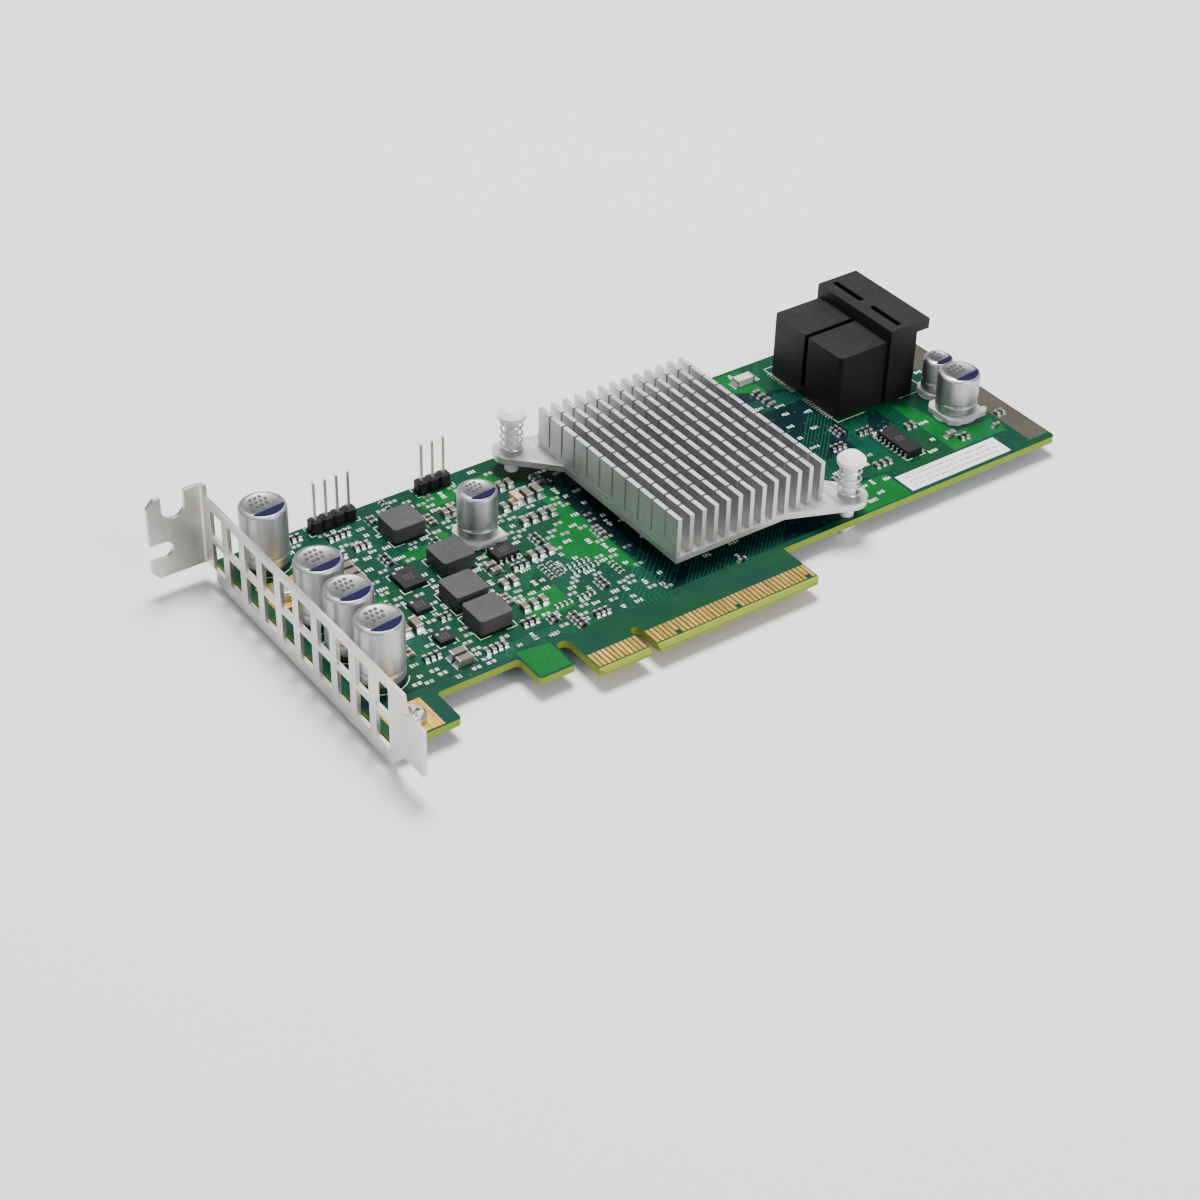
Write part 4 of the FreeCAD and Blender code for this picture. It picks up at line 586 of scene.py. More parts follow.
def spring_tree(name):
    """A helical spring from its wire, radius, turns and height, with its lower end at a place."""
    tree = Tree.shape(name, ("Wire", "Float", 0.5 * MM), ("Radius", "Float", 2.1 * MM),
                      ("Turns", "Float", 4.0), ("Height", "Float", 5.0 * MM),
                      ("Place", "Vector", None))
    start = tree.start
    helix = tree.add("GeometryNodeCurveSpiral", {
        "Resolution": SPRING_STEPS, "Rotations": start["Turns"], "Start Radius": start["Radius"],
        "End Radius": start["Radius"], "Height": start["Height"]})
    wire = tree.add("GeometryNodeCurvePrimitiveCircle", {
        "Resolution": WIRE_STEPS, "Radius": tree.math("MULTIPLY", start["Wire"], 0.5)})
    swept = tree.add("GeometryNodeCurveToMesh", {
        "Curve": helix, "Profile Curve": wire, "Fill Caps": True})
    return tree.close(tree.add("GeometryNodeTransform", {
        "Geometry": swept, "Translation": start["Place"]}))


def fin_tree(name):
    """Ribs with a row of pins on each, joined to a heatsink's base."""
    tree = Tree.shape(name, ("Low Corner", "Vector", None), ("Length", "Float", 34.0 * MM),
                      ("Width", "Float", 47.0 * MM), ("Height", "Float", 8.0 * MM),
                      ("Rib Height", "Float", 1.2 * MM), ("Fin Thickness", "Float", 1.0 * MM),
                      ("Cross Cut", "Float", 0.9 * MM), ("Rows", "Int", 13),
                      ("Pins In Row", "Int", 11))
    start = tree.start
    thickness, width, rib = start["Fin Thickness"], start["Width"], start["Rib Height"]
    row_pitch = tree.math("DIVIDE", tree.math("SUBTRACT", start["Length"], thickness),
                          tree.math("SUBTRACT", start["Rows"], 1.0))
    whole = tree.math("ADD", width, start["Cross Cut"])
    pin_pitch = tree.math("DIVIDE", whole, start["Pins In Row"])
    pin_width = tree.math("SUBTRACT", pin_pitch, start["Cross Cut"])
    pin_height = tree.math("SUBTRACT", start["Height"], rib)

    def line(count, axis, pitch):
        """Points in a line along an axis."""
        gap = tree.add("ShaderNodeCombineXYZ", {axis: pitch})
        return tree.add("GeometryNodeMeshLine", {"Count": count, "Offset": gap}, mode="OFFSET")

    def blocks(size_y, height, lift, columns, pitch):
        """A grid of upright blocks, given by their size, height over the base and pitch."""
        size = tree.add("ShaderNodeCombineXYZ", {0: thickness, 1: size_y, 2: height})
        grid = tree.add("GeometryNodeMeshCube", {"Size": size})
        for points in (line(columns, 1, pitch), line(start["Rows"], 0, row_pitch)):
            grid = tree.add("GeometryNodeInstanceOnPoints", {"Points": points, "Instance": grid})
        middle = tree.vector("MULTIPLY", size, (0.5, 0.5, 0.5))
        raised = tree.vector("ADD", middle, tree.add("ShaderNodeCombineXYZ", {2: lift}))
        corner = tree.vector("ADD", start["Low Corner"], raised)
        return tree.add("GeometryNodeTransform", {"Geometry": grid, "Translation": corner})

    joined = tree.node("GeometryNodeJoinGeometry")
    for part in (blocks(pin_width, pin_height, rib, start["Pins In Row"], pin_pitch),
                 blocks(width, rib, 0.0, 1, 0.0), start["Geometry"]):
        tree.link(part, joined.inputs[0])
    return tree.close(joined.outputs[0])


GROUPS = {
    "Surface Grain": grain_group,
    "Edge Wear": wear_group,
    "Ribbon Along Path": ribbon_tree,
    "Shape On Points": scatter_tree,
    "Helical Spring": spring_tree,
    "Pin Fin Field": fin_tree,
}


def node_group(name):
    """A node group by name; each is built once, by its function in GROUPS."""
    return bpy.data.node_groups.get(name) or GROUPS[name](name)


# ------------------------------------------------------------------ meshes

def new_object(name, mesh):
    piece = bpy.data.objects.new(name, mesh)
    bpy.context.scene.collection.objects.link(piece)
    return piece


def mounted(piece):
    """Puts a finished piece on the card."""
    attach(piece, ROOT)
    return piece


def shaded(mesh):
    """Smooth shading that breaks at sharp edges."""
    mesh.shade_smooth()
    mesh.set_sharp_from_angle(angle=SMOOTH_ANGLE)


def give(node, name):
    """Puts a finish on a CAD node that keeps its own shape."""
    piece = NODES[node]
    if not piece.material_slots:
        piece.data.materials.append(finish(name))
    for place in piece.material_slots:
        place.material = finish(name)


def welded(node):
    """A copy of a node's mesh with its corners merged."""
    shell = bmesh.new()
    shell.from_mesh(NODES[node].data)
    bmesh.ops.remove_doubles(shell, verts=shell.verts, dist=WELD)
    return shell


def flattened(shell):
    """Joins a mesh's flat faces."""
    bmesh.ops.dissolve_limit(shell, angle_limit=FLAT_ANGLE, verts=shell.verts, edges=shell.edges)
    return shell


def to_mesh(shell, name, material=None):
    """A plain mesh of a shell, with its finish."""
    mesh = bpy.data.meshes.new(name)
    shell.to_mesh(mesh)
    shell.free()
    if "custom_normal" in mesh.attributes:
        mesh.attributes.remove(mesh.attributes["custom_normal"])
    mesh.materials.clear()
    if material:
        mesh.materials.append(finish(material))
    return mesh


def round_edges(piece, reach, segments=2):
    """Rounds a piece's sharp edges, with faces that stay flat between them."""
    shaded(piece.data)
    bevel = piece.modifiers.new("Rounded edges", "BEVEL")
    bevel.width = reach
    bevel.segments = segments
    bevel.limit_method = "ANGLE"
    bevel.angle_limit = SMOOTH_ANGLE
    bevel.harden_normals = True


def dressed(node, material, reach, segments=2):
    """A copy of a node with rounded edges, which stands for it."""
    name = f"{node}_finish"
    piece = new_object(name, to_mesh(flattened(welded(node)), name, material))
    round_edges(piece, reach, segments)
    mounted(piece)
    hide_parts(node)


def solids_of(node):
    """The box of each separate solid in a node, as its lowest and highest corners."""
    shell = welded(node)
    left = set(shell.verts)
    boxes = []
    while left:
        waiting, found = [left.pop()], []
        while waiting:
            corner = waiting.pop()
            found.append(corner.co.copy())
            near = left.intersection(edge.other_vert(corner) for edge in corner.link_edges)
            left -= near
            waiting += near
        boxes.append([Vector([limit(v[i] for v in found) for i in range(3)])
                      for limit in (min, max)])
    shell.free()
    return sorted(boxes, key=lambda pair: tuple(pair[0]))


def grown(name, mesh, group, **inputs):
    """Runs a geometry group on a mesh, and keeps the result as a plain mesh in a new object."""
    seed = new_object(f"{name}_seed", mesh)
    modifier = seed.modifiers.new(group, "NODES")
    modifier.node_group = node_group(group)
    for item in modifier.node_group.interface.items_tree:
        key = item.name.replace(" ", "_").lower()
        if item.in_out == "INPUT" and key in inputs:
            modifier[item.identifier] = inputs[key]
    graph = bpy.context.evaluated_depsgraph_get()
    result = bpy.data.meshes.new_from_object(seed.evaluated_get(graph))
    result.name = name
    bpy.data.objects.remove(seed)
    return new_object(name, result)


def ribbons(name, paths, width, rise, level, material):
    """Flat bars along paths of (x, y) points in millimetres, half sunk at a level."""
    corners, edges = [], []
    for path in paths:
        first = len(corners)
        corners += [(x * MM, y * MM, level) for x, y in path]
        edges += [(first + i, first + i + 1) for i in range(len(path) - 1)]
    mesh = bpy.data.meshes.new(f"{name}_paths")
    mesh.from_pydata(corners, edges, [])
    piece = grown(name, mesh, "Ribbon Along Path", width=width, rise=rise,
                  finish=finish(material))
    shaded(piece.data)
    mounted(piece)


def scattered(name, shape, rows, material):
    """A shape at each of the rows of (place, turn about Z, spread), as one piece."""
    mesh = bpy.data.meshes.new(f"{name}_points")
    mesh.from_pydata([row[0] for row in rows], [], [])
    turn = mesh.attributes.new("turn", "FLOAT_VECTOR", "POINT")
    spread = mesh.attributes.new("spread", "FLOAT_VECTOR", "POINT")
    for index, (_, angle, size) in enumerate(rows):
        turn.data[index].vector = (0.0, 0.0, angle)
        spread.data[index].vector = size
    pattern = new_object(f"{name}_shape", shape)
    piece = grown(name, mesh, "Shape On Points", shape=pattern, finish=finish(material))
    bpy.data.objects.remove(pattern)
    shaded(piece.data)
    return mounted(piece)


# ------------------------------------------------------------------ shapes

def arc(radius, start, sweep, steps, middle=(0.0, 0.0)):
    """Points (x, y) along an arc, with both its ends."""
    turns = [start + sweep * i / steps for i in range(steps + 1)]
    return [(middle[0] + radius * math.cos(turn), middle[1] + radius * math.sin(turn))
            for turn in turns]


def at_levels(outline, levels):
    """The same outline of (x, y) points at each of the levels."""
    return [[(x, y, z) for x, y in outline] for z in levels]


def add_solid(shell, sections, ring=False):
    """Adds a solid through sections of corners, capped or joined end to end as a ring."""
    rows = [[shell.verts.new(corner) for corner in section] for section in sections]
    if not ring:
        shell.faces.new(rows[0])
        shell.faces.new(rows[-1][::-1])
    for first, second in zip(rows, rows[1:] + rows[:1] if ring else rows[1:]):
        for i, corner in enumerate(first):
            j = (i + 1) % len(first)
            shell.faces.new((corner, first[j], second[j], second[i]))


def solid(name, sections, ring=False):
    """A unit shape for scattering."""
    shell = bmesh.new()
    add_solid(shell, sections, ring)
    bmesh.ops.recalc_face_normals(shell, faces=shell.faces)
    return to_mesh(shell, name)


def turned(name, sides, profile, ring=False):
    """A unit shape turned about Z from a profile of (radius, height)."""
    return solid(name, [[(x, y, z) for x, y in arc(radius, 0.0, 2 * math.pi, sides)[:-1]]
                        for radius, z in profile], ring)


def block(cut=0.0):
    """A unit block lying on its origin, for dashes or, with its upright edges cut, header cells."""
    near = 0.5 - cut
    corner = [(near, 0.5), (0.5, near)] if cut else [(0.5, 0.5)]
    outline = []
    for x, y, points in ((1, -1, corner), (1, 1, corner[::-1]), (-1, 1, corner),
                         (-1, -1, corner[::-1])):
        outline += [(x * across, y * along) for across, along in points]
    return solid("block", at_levels(outline, (0.0, 1.0)))


def fillet(steps=4, waist=0.78, shoulder=0.45, least=0.04):
    """A unit solder joint: from full height at the part, down a hollow slope, out along +X."""
    sections = []
    for i in range(steps + 1):
        out = i / steps
        high = max(least, (1.0 - out) ** 2)
        half = 0.5 * (waist + (1.0 - waist) * min(1.0, out * 2.0))
        sections.append([(out, side * half, z) for side, z in (
            (-1, 0.0), (1, 0.0), (1, high * 0.8), (shoulder, high), (-shoulder, high),
            (-1, high * 0.8))])
    return solid("fillet", sections)


def dome():
    """A unit solder dome of a through-hole joint."""
    shares = [ring / DOME_RINGS for ring in range(DOME_RINGS + 1)]
    return turned("dome", DOME_SIDES, [(1.0 - DOME_TAPER * share ** DOME_CURVE, share)
                                       for share in shares])


def plates(name, rows, material):
    """Flat pieces in one, from rows of (outline, levels), for copper areas and marks."""
    shell = bmesh.new()
    for outline, levels in rows:
        add_solid(shell, at_levels(outline, levels))
    bmesh.ops.recalc_face_normals(shell, faces=shell.faces)
    mounted(new_object(name, to_mesh(shell, name, material)))


def dash_lines(node, pattern, scale, rise, turn=0.0):
    """Centred lines of dashes on top of a node, from their pattern and its scale."""
    lines, pitch, (wide, tall) = pattern
    low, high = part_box(node)
    middle = (low + high) / 2
    rows = []
    for count, offset in lines:
        for i in range(count):
            spot = Vector(((i - (count - 1) / 2) * pitch, offset)) * scale
            spot.rotate(Matrix.Rotation(turn, 2))
            rows.append(((middle.x + spot.x, middle.y + spot.y, high.z), turn,
                         (wide * scale, tall * scale, rise)))
    return rows


# ------------------------------------------------------------------ board layout, in millimetres

POURS = [
    # copper areas on the component side, as corners
    [(-22.3, 5.0), (-15.4, 5.0), (-15.4, 12.4), (-22.3, 13.4)],
    [(2.2, 32.0), (7.6, 26.6), (12.6, 21.6), (12.6, 50.0), (9.4, 53.2), (9.4, 44.6), (2.2, 39.2)],
    [(58.8, 12.0), (72.6, 12.0), (72.6, 20.4), (63.8, 20.4), (58.8, 17.6)],
    [(64.8, 61.8), (71.8, 57.6), (71.8, 68.2), (60.8, 68.2)],
    [(90.2, 19.0), (104.6, 19.0), (104.6, 23.8), (95.4, 24.2), (94.0, 36.0), (90.2, 39.6)],
    [(-14.6, 45.0), (-12.8, 41.4), (-12.4, 42.4), (-12.4, 52.4), (-14.6, 55.0)],
    [(-13.9, 26.6), (-4.6, 26.6), (-4.6, 19.0), (-13.9, 19.0)],
    [(-12.0, 60.8), (0.0, 60.8), (8.2, 58.0), (5.4, 65.0), (-2.0, 65.0), (-12.0, 64.8)],
    [(-40.2, 36.6), (-33.2, 36.6), (-33.2, 41.2), (-40.2, 41.2)],
    [(-24.4, 47.6), (-13.6, 47.6), (-15.0, 51.0), (-24.4, 51.0)],
]

DEEP_AND_SHADOW_AREAS = [
    # areas of bare mask over the deep layers; the first also reaches a few millimetres past the
    # heatsink's base as painted shadow of the gap under it
    [(13.0, 12.8), (54.6, 12.8), (54.6, 64.0), (13.0, 64.0)],
    [(58.4, 38.0), (66.0, 31.0), (76.6, 31.0), (76.6, 56.4), (66.0, 60.6), (58.4, 60.6)],
    [(-53.8, 12.2), (-24.6, 12.2), (-26.4, 14.4), (-41.4, 14.4), (-53.8, 17.0)],
    [(80.4, 33.8), (86.6, 33.8), (86.6, 39.8), (80.4, 39.8)],
]

FAR_STRIP = [(106.0, 13.4), (111.3, 13.4), (111.3, 68.4), (104.2, 68.4), (104.2, 46.0),
             (106.0, 43.0)]

BUNDLES = [
    # first path's points, copies, step from one copy to the next (x, y)
    ([(3.0, 12.6), (3.0, 15.4), (13.4, 24.6), (19.4, 30.6), (22.0, 30.6)], 10, (1.0, -0.35)),
    ([(16.2, 11.6), (16.2, 12.6), (22.0, 18.4), (22.0, 22.4)], 24, (1.0, 0.0)),
    ([(52.2, 22.0), (56.6, 22.0), (62.6, 28.0), (76.6, 42.0)], 8, (-0.30, 0.72)),
    ([(52.2, 45.0), (58.6, 45.0), (65.4, 51.8), (76.6, 51.8)], 8, (-0.22, 0.58)),
    ([(-53.4, 12.3), (-24.0, 12.3), (-21.6, 14.4), (-13.0, 14.4), (-9.6, 12.2)], 5, (0.0, 0.44)),
    ([(-9.4, 13.6), (-5.2, 17.8), (-5.2, 26.4), (0.6, 32.2), (0.6, 35.0)], 7, (0.50, -0.2)),
    ([(-13.8, 28.2), (-9.6, 28.2), (-4.2, 33.6), (-4.2, 37.6)], 6, (0.0, 0.50)),
    ([(-44.6, 58.6), (-31.0, 58.6), (-27.4, 62.2), (-14.0, 62.2)], 6, (0.0, 0.52)),
    ([(-52.6, 48.6), (-45.0, 48.6), (-41.4, 45.0), (-41.4, 38.0)], 4, (0.45, 0.45)),
    ([(-40.0, 20.0), (-37.0, 23.0), (-37.0, 44.0)], 5, (0.50, 0.0)),
    ([(58.2, 62.6), (73.0, 62.6), (76.6, 66.2), (90.0, 66.2)], 5, (0.0, 0.50)),
    ([(60.4, 21.6), (70.2, 21.6), (74.2, 25.6), (74.2, 34.0), (80.0, 39.8)], 8, (0.55, -0.1)),
    ([(92.4, 20.2), (99.6, 20.2), (102.4, 23.0), (102.4, 41.0)], 6, (0.46, -0.2)),
    ([(12.2, 12.4), (52.0, 12.4), (57.2, 12.4)], 2, (0.0, 0.45)),
    ([(14.8, 56.4), (12.0, 53.6), (4.8, 53.6), (-3.6, 45.2)], 5, (0.40, -0.5)),
]

BACK_BUNDLES = [
    ([(-11.0, 12.4), (-11.0, 16.0), (10.0, 37.0), (20.0, 37.0)], 9, (1.0, -0.3)),
    ([(3.0, 11.6), (3.0, 14.0), (21.0, 32.0)], 16, (1.0, -0.2)),
    ([(46.0, 30.0), (60.0, 30.0), (76.0, 46.0)], 16, (-0.2, 0.7)),
    ([(-50.0, 20.0), (-30.0, 20.0), (-18.0, 32.0), (-18.0, 58.0)], 8, (-0.5, 0.5)),
    ([(60.0, 15.0), (96.0, 15.0), (106.0, 25.0), (106.0, 60.0)], 8, (-0.3, 0.6)),
    ([(-44.0, 62.0), (8.0, 62.0), (16.0, 54.0), (16.0, 46.0)], 6, (0.2, -0.6)),
]


def copies_of(bundles):
    """The side-by-side paths of all bundles."""
    return [[(x + step_x * i, y + step_y * i) for x, y in path]
            for path, copies, (step_x, step_y) in bundles for i in range(copies)]


def areas(name, outlines, rise, material):
    """Thin raised areas on the component side, sunk as deep as they rise."""
    levels = (FACE - rise, FACE + rise)
    plates(name, [([(x * MM, y * MM) for x, y in outline], levels) for outline in outlines],
           material)


ON_BOARD_SKIPPED = ("circuit_board", "edge_contacts_front", "edge_contacts_back")


def footprints(side):
    """Boxes in millimetres of all solids that stand on one side of the board."""
    found = []
    for node in NODES:
        if node in ON_BOARD_SKIPPED:
            continue
        for low, high in solids_of(node):
            above = low.z < FACE + TOUCH and high.z > FACE + CLEAR
            below = high.z > BACK - TOUCH and low.z < BACK - CLEAR
            if above if side > 0 else below:
                found.append((low.x / MM, low.y / MM, high.x / MM, high.y / MM))
    return found


def free_of(box, taken, gap=0.1):
    """Whether a box (low x, low y, high x, high y) keeps a gap from all the taken ones."""
    return all(box[2] < other[0] - gap or box[0] > other[2] + gap or box[3] < other[1] - gap
               or box[1] > other[3] + gap for other in taken)


def on_board(x, y, margin):
    """Whether a point lies on the board, clear of its edges, tongue and notches."""
    left, right = board_low.x / MM + margin, board_high.x / MM - margin
    return left < x < right and SHOULDER + margin < y < board_high.y / MM - margin


# ------------------------------------------------------------------ operators

class CardOperator:
    bl_options = {"REGISTER", "UNDO"}


class CARD_OT_board(CardOperator, bpy.types.Operator):
    """Finishes the board: copper areas, traces and vias under the solder mask"""

    bl_idname = "card.board"
    bl_label = "Board and copper"

    def execute(self, context):
        values = context.scene.card_board
        give("circuit_board", "Solder mask")
        rise = values.trace_rise
        areas("copper_areas", POURS, rise * POUR_RISE, "Mask over copper")
        # dark mask over the deep layers, also painted shadow round the heatsink's base
        areas("deep_areas", DEEP_AND_SHADOW_AREAS, rise * DEEP_AND_SHADOW_RISE, "Mask over deep layers")
        areas("far_strip", [FAR_STRIP], rise * STRIP_RISE, "Bare strip")
        sides = (("front", 1, FACE, copies_of(BUNDLES)), ("back", -1, BACK, copies_of(BACK_BUNDLES)))
        for end, _, level, paths in sides:
            ribbons(f"copper_traces_{end}", paths, values.trace_width, rise, level,
                    "Mask over traces")
        dice = random.Random(VIA_SEED)
        for end, side, level, paths in sides:
            self.vias(f"vias_{end}", side, level, [path[-1] for path in paths], dice, values)
        return {"FINISHED"}

    def vias(self, name, side, level, ends, dice, values):
        """Rings of plated holes at the ends of traces and strewn between parts."""
        spacing = values.via_spacing / MM
        boxes = footprints(side)
        tries = [(dice.uniform(board_low.x / MM, board_high.x / MM),
                  dice.uniform(SHOULDER, board_high.y / MM)) for _ in range(VIA_TRIES)]
        places = []
        for x, y in ends + tries:
            apart = all((x - u) ** 2 + (y - v) ** 2 > spacing ** 2 for u, v in places)
            if apart and on_board(x, y, VIA_MARGIN) and free_of((x, y, x, y), boxes, VIA_GAP):
                places.append((x, y))
        rise = values.trace_rise * VIA_RISE
        low = level if side > 0 else level - rise
        spread = (values.via_radius, values.via_radius, rise)
        profile = ((VIA_HOLE, 0.0), (1.0, 0.0), (1.0, 1.0), (VIA_HOLE, 1.0))
        scattered(name, turned("via", VIA_SIDES, profile, ring=True),
                  [((x * MM, y * MM, low), 0.0, spread) for x, y in places],
                  "Mask over traces")


class CARD_OT_contacts(CardOperator, bpy.types.Operator):
    """Plates the edge contacts and the ground pads with gold"""

    bl_idname = "card.contacts"
    bl_label = "Gold contacts"

    def execute(self, context):
        give("edge_contacts_front", "Contact gold")
        give("edge_contacts_back", "Contact gold")
        give("ground_pads", "Gold plating")
        return {"FINISHED"}


class CARD_OT_bracket(CardOperator, bpy.types.Operator):
    """Rounds and finishes the bracket and its screws"""

    bl_idname = "card.bracket"
    bl_label = "Bracket"

    def execute(self, context):
        reach = context.scene.card_metal.edge_round
        dressed("io_bracket", "Bracket nickel", reach)
        dressed("bracket_screws", "Screw nickel", reach * SCREW_ROUND, segments=3)
        return {"FINISHED"}


class CARD_OT_heatsink(CardOperator, bpy.types.Operator):
    """Builds the heatsink's field of pins on its base"""

    bl_idname = "card.heatsink"
    bl_label = "Pin-fin heatsink"

    def execute(self, context):
        low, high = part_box("heatsink")
        base_top = low.z + SINK_BASE * MM
        shell = flattened(welded("heatsink"))
        cut = bmesh.ops.bisect_plane(shell, geom=shell.verts[:] + shell.edges[:] + shell.faces[:],
                                     plane_co=(0.0, 0.0, base_top - WELD), plane_no=(0, 0, 1),
                                     clear_outer=True)
        rim = [item for item in cut["geom_cut"] if isinstance(item, bmesh.types.BMEdge)]
        bmesh.ops.holes_fill(shell, edges=rim, sides=0)
        base = to_mesh(flattened(shell), "heatsink_base", "Heatsink aluminium")
        corner = ((SINK_X - SINK_LENGTH / 2) * MM, (SINK_Y - SINK_WIDTH / 2) * MM, base_top)
        piece = grown("heatsink_finish", base, "Pin Fin Field", low_corner=corner,
                      length=SINK_LENGTH * MM, width=SINK_WIDTH * MM, height=high.z - base_top,
                      rib_height=RIB_HEIGHT * MM, fin_thickness=FIN_THICKNESS * MM,
                      cross_cut=CROSS_CUT * MM, rows=FIN_ROWS, pins_in_row=PINS_IN_ROW,
                      finish=finish("Heatsink aluminium"))
        round_edges(piece, context.scene.card_metal.fin_round)
        mounted(piece)
        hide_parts("heatsink")
        return {"FINISHED"}


class CARD_OT_push_pins(CardOperator, bpy.types.Operator):
    """Rounds the nylon push pins and winds their springs"""

    bl_idname = "card.push_pins"
    bl_label = "Push pins"

    def execute(self, context):
        values = context.scene.card_metal
        wire = values.spring_wire
        for side in ("left", "right"):
            dressed(f"push_pin_{side}", "Push pin nylon",
                    values.edge_round * PUSH_PIN_ROUND, segments=3)
            node = f"push_pin_spring_{side}"
            low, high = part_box(node)
            middle = (low + high) / 2
            piece = grown(f"{node}_finish", bpy.data.meshes.new(f"{node}_seed"), "Helical Spring",
                          wire=wire, radius=(high.x - low.x - wire) / 2,
                          turns=values.spring_turns, height=high.z - low.z - wire,
                          place=(middle.x, middle.y, low.z + wire / 2),
                          finish=finish("Spring steel"))
            shaded(piece.data)
            mounted(piece)
            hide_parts(node)
        return {"FINISHED"}


class CARD_OT_controller(CardOperator, bpy.types.Operator):
    """Finishes the controller under the heatsink"""

    bl_idname = "card.controller"
    bl_label = "Controller"

    def execute(self, context):
        dressed("controller_package", "Package laminate", PACKAGE_ROUND)
        give("controller_die", "Die silicon")
        give("thermal_pad", "Thermal compound")
        return {"FINISHED"}


class CARD_OT_connector(CardOperator, bpy.types.Operator):
    """Rounds the storage connector and plates its contacts"""

    bl_idname = "card.connector"
    bl_label = "Storage connector"

    def execute(self, context):
        reach = context.scene.card_metal.edge_round
        dressed("sas_connector", "Connector black", reach * CONNECTOR_ROUND)
        for level in ("low", "high"):
            give(f"sas_port_core_{level}", "Connector black")
            give(f"sas_port_contacts_{level}", "Contact gold")
        dressed("sas_connector_tails", "Tinned metal", CHIP_ROUND)
        return {"FINISHED"}


class CARD_OT_capacitors(CardOperator, bpy.types.Operator):
    """Rounds the cans and prints their polarity marks"""

    bl_idname = "card.capacitors"
    bl_label = "Capacitors"

    def execute(self, context):
        reach = context.scene.card_metal.edge_round
        marks, dashes = [], []
        for node in CANS:
            dressed(node, "Can aluminium", reach * CAN_ROUND, segments=3)
            low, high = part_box(node)
            middle = (low + high) / 2
            radius = (high.x - low.x) / 2
            segment = arc(radius * MARK_SHARE, MARK_TURN - MARK_HALF, 2 * MARK_HALF, MARK_STEPS,
                          middle)
            marks.append((segment, (high.z - INK, high.z + INK * MARK_RISE)))
            dashes += dash_lines(node, CAN_PRINT, radius, INK, CAN_TURN)
        plates("polarity_marks", marks, "Navy ink")
        scattered("capacitor_printing", block(), dashes, "Can print")
        for node in SEALS:
            give(node, "Seal rubber")
        for node in BASES:
            dressed(node, "Base moulding", reach)
        give("capacitor_leads", "Tinned metal")
        return {"FINISHED"}


class CARD_OT_headers(CardOperator, bpy.types.Operator):
    """Rounds the pin headers"""

    bl_idname = "card.headers"
    bl_label = "Pin headers"

    def execute(self, context):
        reach = context.scene.card_metal.edge_round * HEADER_ROUND
        for name in ("four", "three"):
            base, pins = f"{name}_pin_header_base", f"{name}_pin_header_pins"
            dressed(pins, "Header pins", reach)
            low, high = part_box(base)
            posts = [(pin_low + pin_high) / 2 for pin_low, pin_high in solids_of(pins)]
            spread = ((high.x - low.x) / len(posts), high.y - low.y, high.z - low.z)
            cells = [((post.x, post.y, low.z), 0.0, spread) for post in posts]
            piece = scattered(f"{base}_finish", block(HEADER_CUT), cells, "Header black")
            round_edges(piece, reach)
            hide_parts(base)
        return {"FINISHED"}


class CARD_OT_inductors(CardOperator, bpy.types.Operator):
    """Rounds the power inductors"""

    bl_idname = "card.inductors"
    bl_label = "Inductors"

    def execute(self, context):
        reach = context.scene.card_metal.edge_round * INDUCTOR_ROUND
        dashes = []
        for node in INDUCTORS:
            material = "Ferrite dark" if node == DARK_INDUCTOR else "Ferrite grey"
            dressed(node, material, reach)
            dashes += dash_lines(node, INDUCTOR_PRINT, MM, THIN_INK)
        scattered("inductor_printing", block(), dashes, "Ferrite print")
        give("inductor_terminals", "Tinned metal")
        return {"FINISHED"}


class CARD_OT_chips(CardOperator, bpy.types.Operator):
    """Rounds the chips and marks their first pins"""

    bl_idname = "card.chips"
    bl_label = "Chips"

    def execute(self, context):
        reach = context.scene.card_metal.edge_round * CHIP_BODY_ROUND
        dots, dashes = [], []
        for node in CHIP_NODES:
            dressed(node, "Chip black", reach)
            low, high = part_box(node)
            dots.append(((low.x + DOT_INSET, high.y - DOT_INSET, high.z), 0.0,
                         (DOT_RADIUS, DOT_RADIUS, INK)))
            dashes += dash_lines(node, CHIP_PRINT, MM, THIN_INK)
        scattered("chip_dots", turned("dot", DOT_SIDES, ((1.0, 0.0), (1.0, 1.0))), dots,
                  "Grey ink")
        scattered("chip_printing", block(), dashes, "Chip print")
        give("chip_leads", "Tinned metal")
        return {"FINISHED"}


class CARD_OT_chip_parts(CardOperator, bpy.types.Operator):
    """Finishes the ceramic capacitors and resistors, and solders their ends"""

    bl_idname = "card.chip_parts"
    bl_label = "Chip parts and solder"

    def execute(self, context):
        rows = []
        for kind, material, slot in CHIP_PARTS:
            dressed(f"{kind}s", material, CHIP_ROUND)
            dressed(f"{kind}_ends", "Tinned metal", CHIP_ROUND)
            bodies = [(low + high) / 2 for low, high in solids_of(f"{kind}s")]
            for low, high in solids_of(f"{kind}_ends"):
                rows.append(self.joint(bodies, low, high))
        scattered("solder_joints", fillet(), rows, "Solder")
        return {"FINISHED"}

    def joint(self, bodies, low, high):
        """The row of a joint at the outer face of an end cap."""
        middle = (low + high) / 2
        body = min(bodies, key=lambda spot: (spot - middle).length)
        out = middle - body
        along = 0 if abs(out.x) > abs(out.y) else 1
        spot = middle.copy()
        spot[along] += math.copysign((high - low)[along] / 2, out[along])
        turn = math.atan2(spot.y - middle.y, spot.x - middle.x)
        spot.z = FACE
        rise = (high.z - FACE) * JOINT_RISE
        return spot, turn, (max(JOINT_LEAST, rise * JOINT_LENGTH),
                            (high - low)[1 - along] * JOINT_WIDTH, rise)


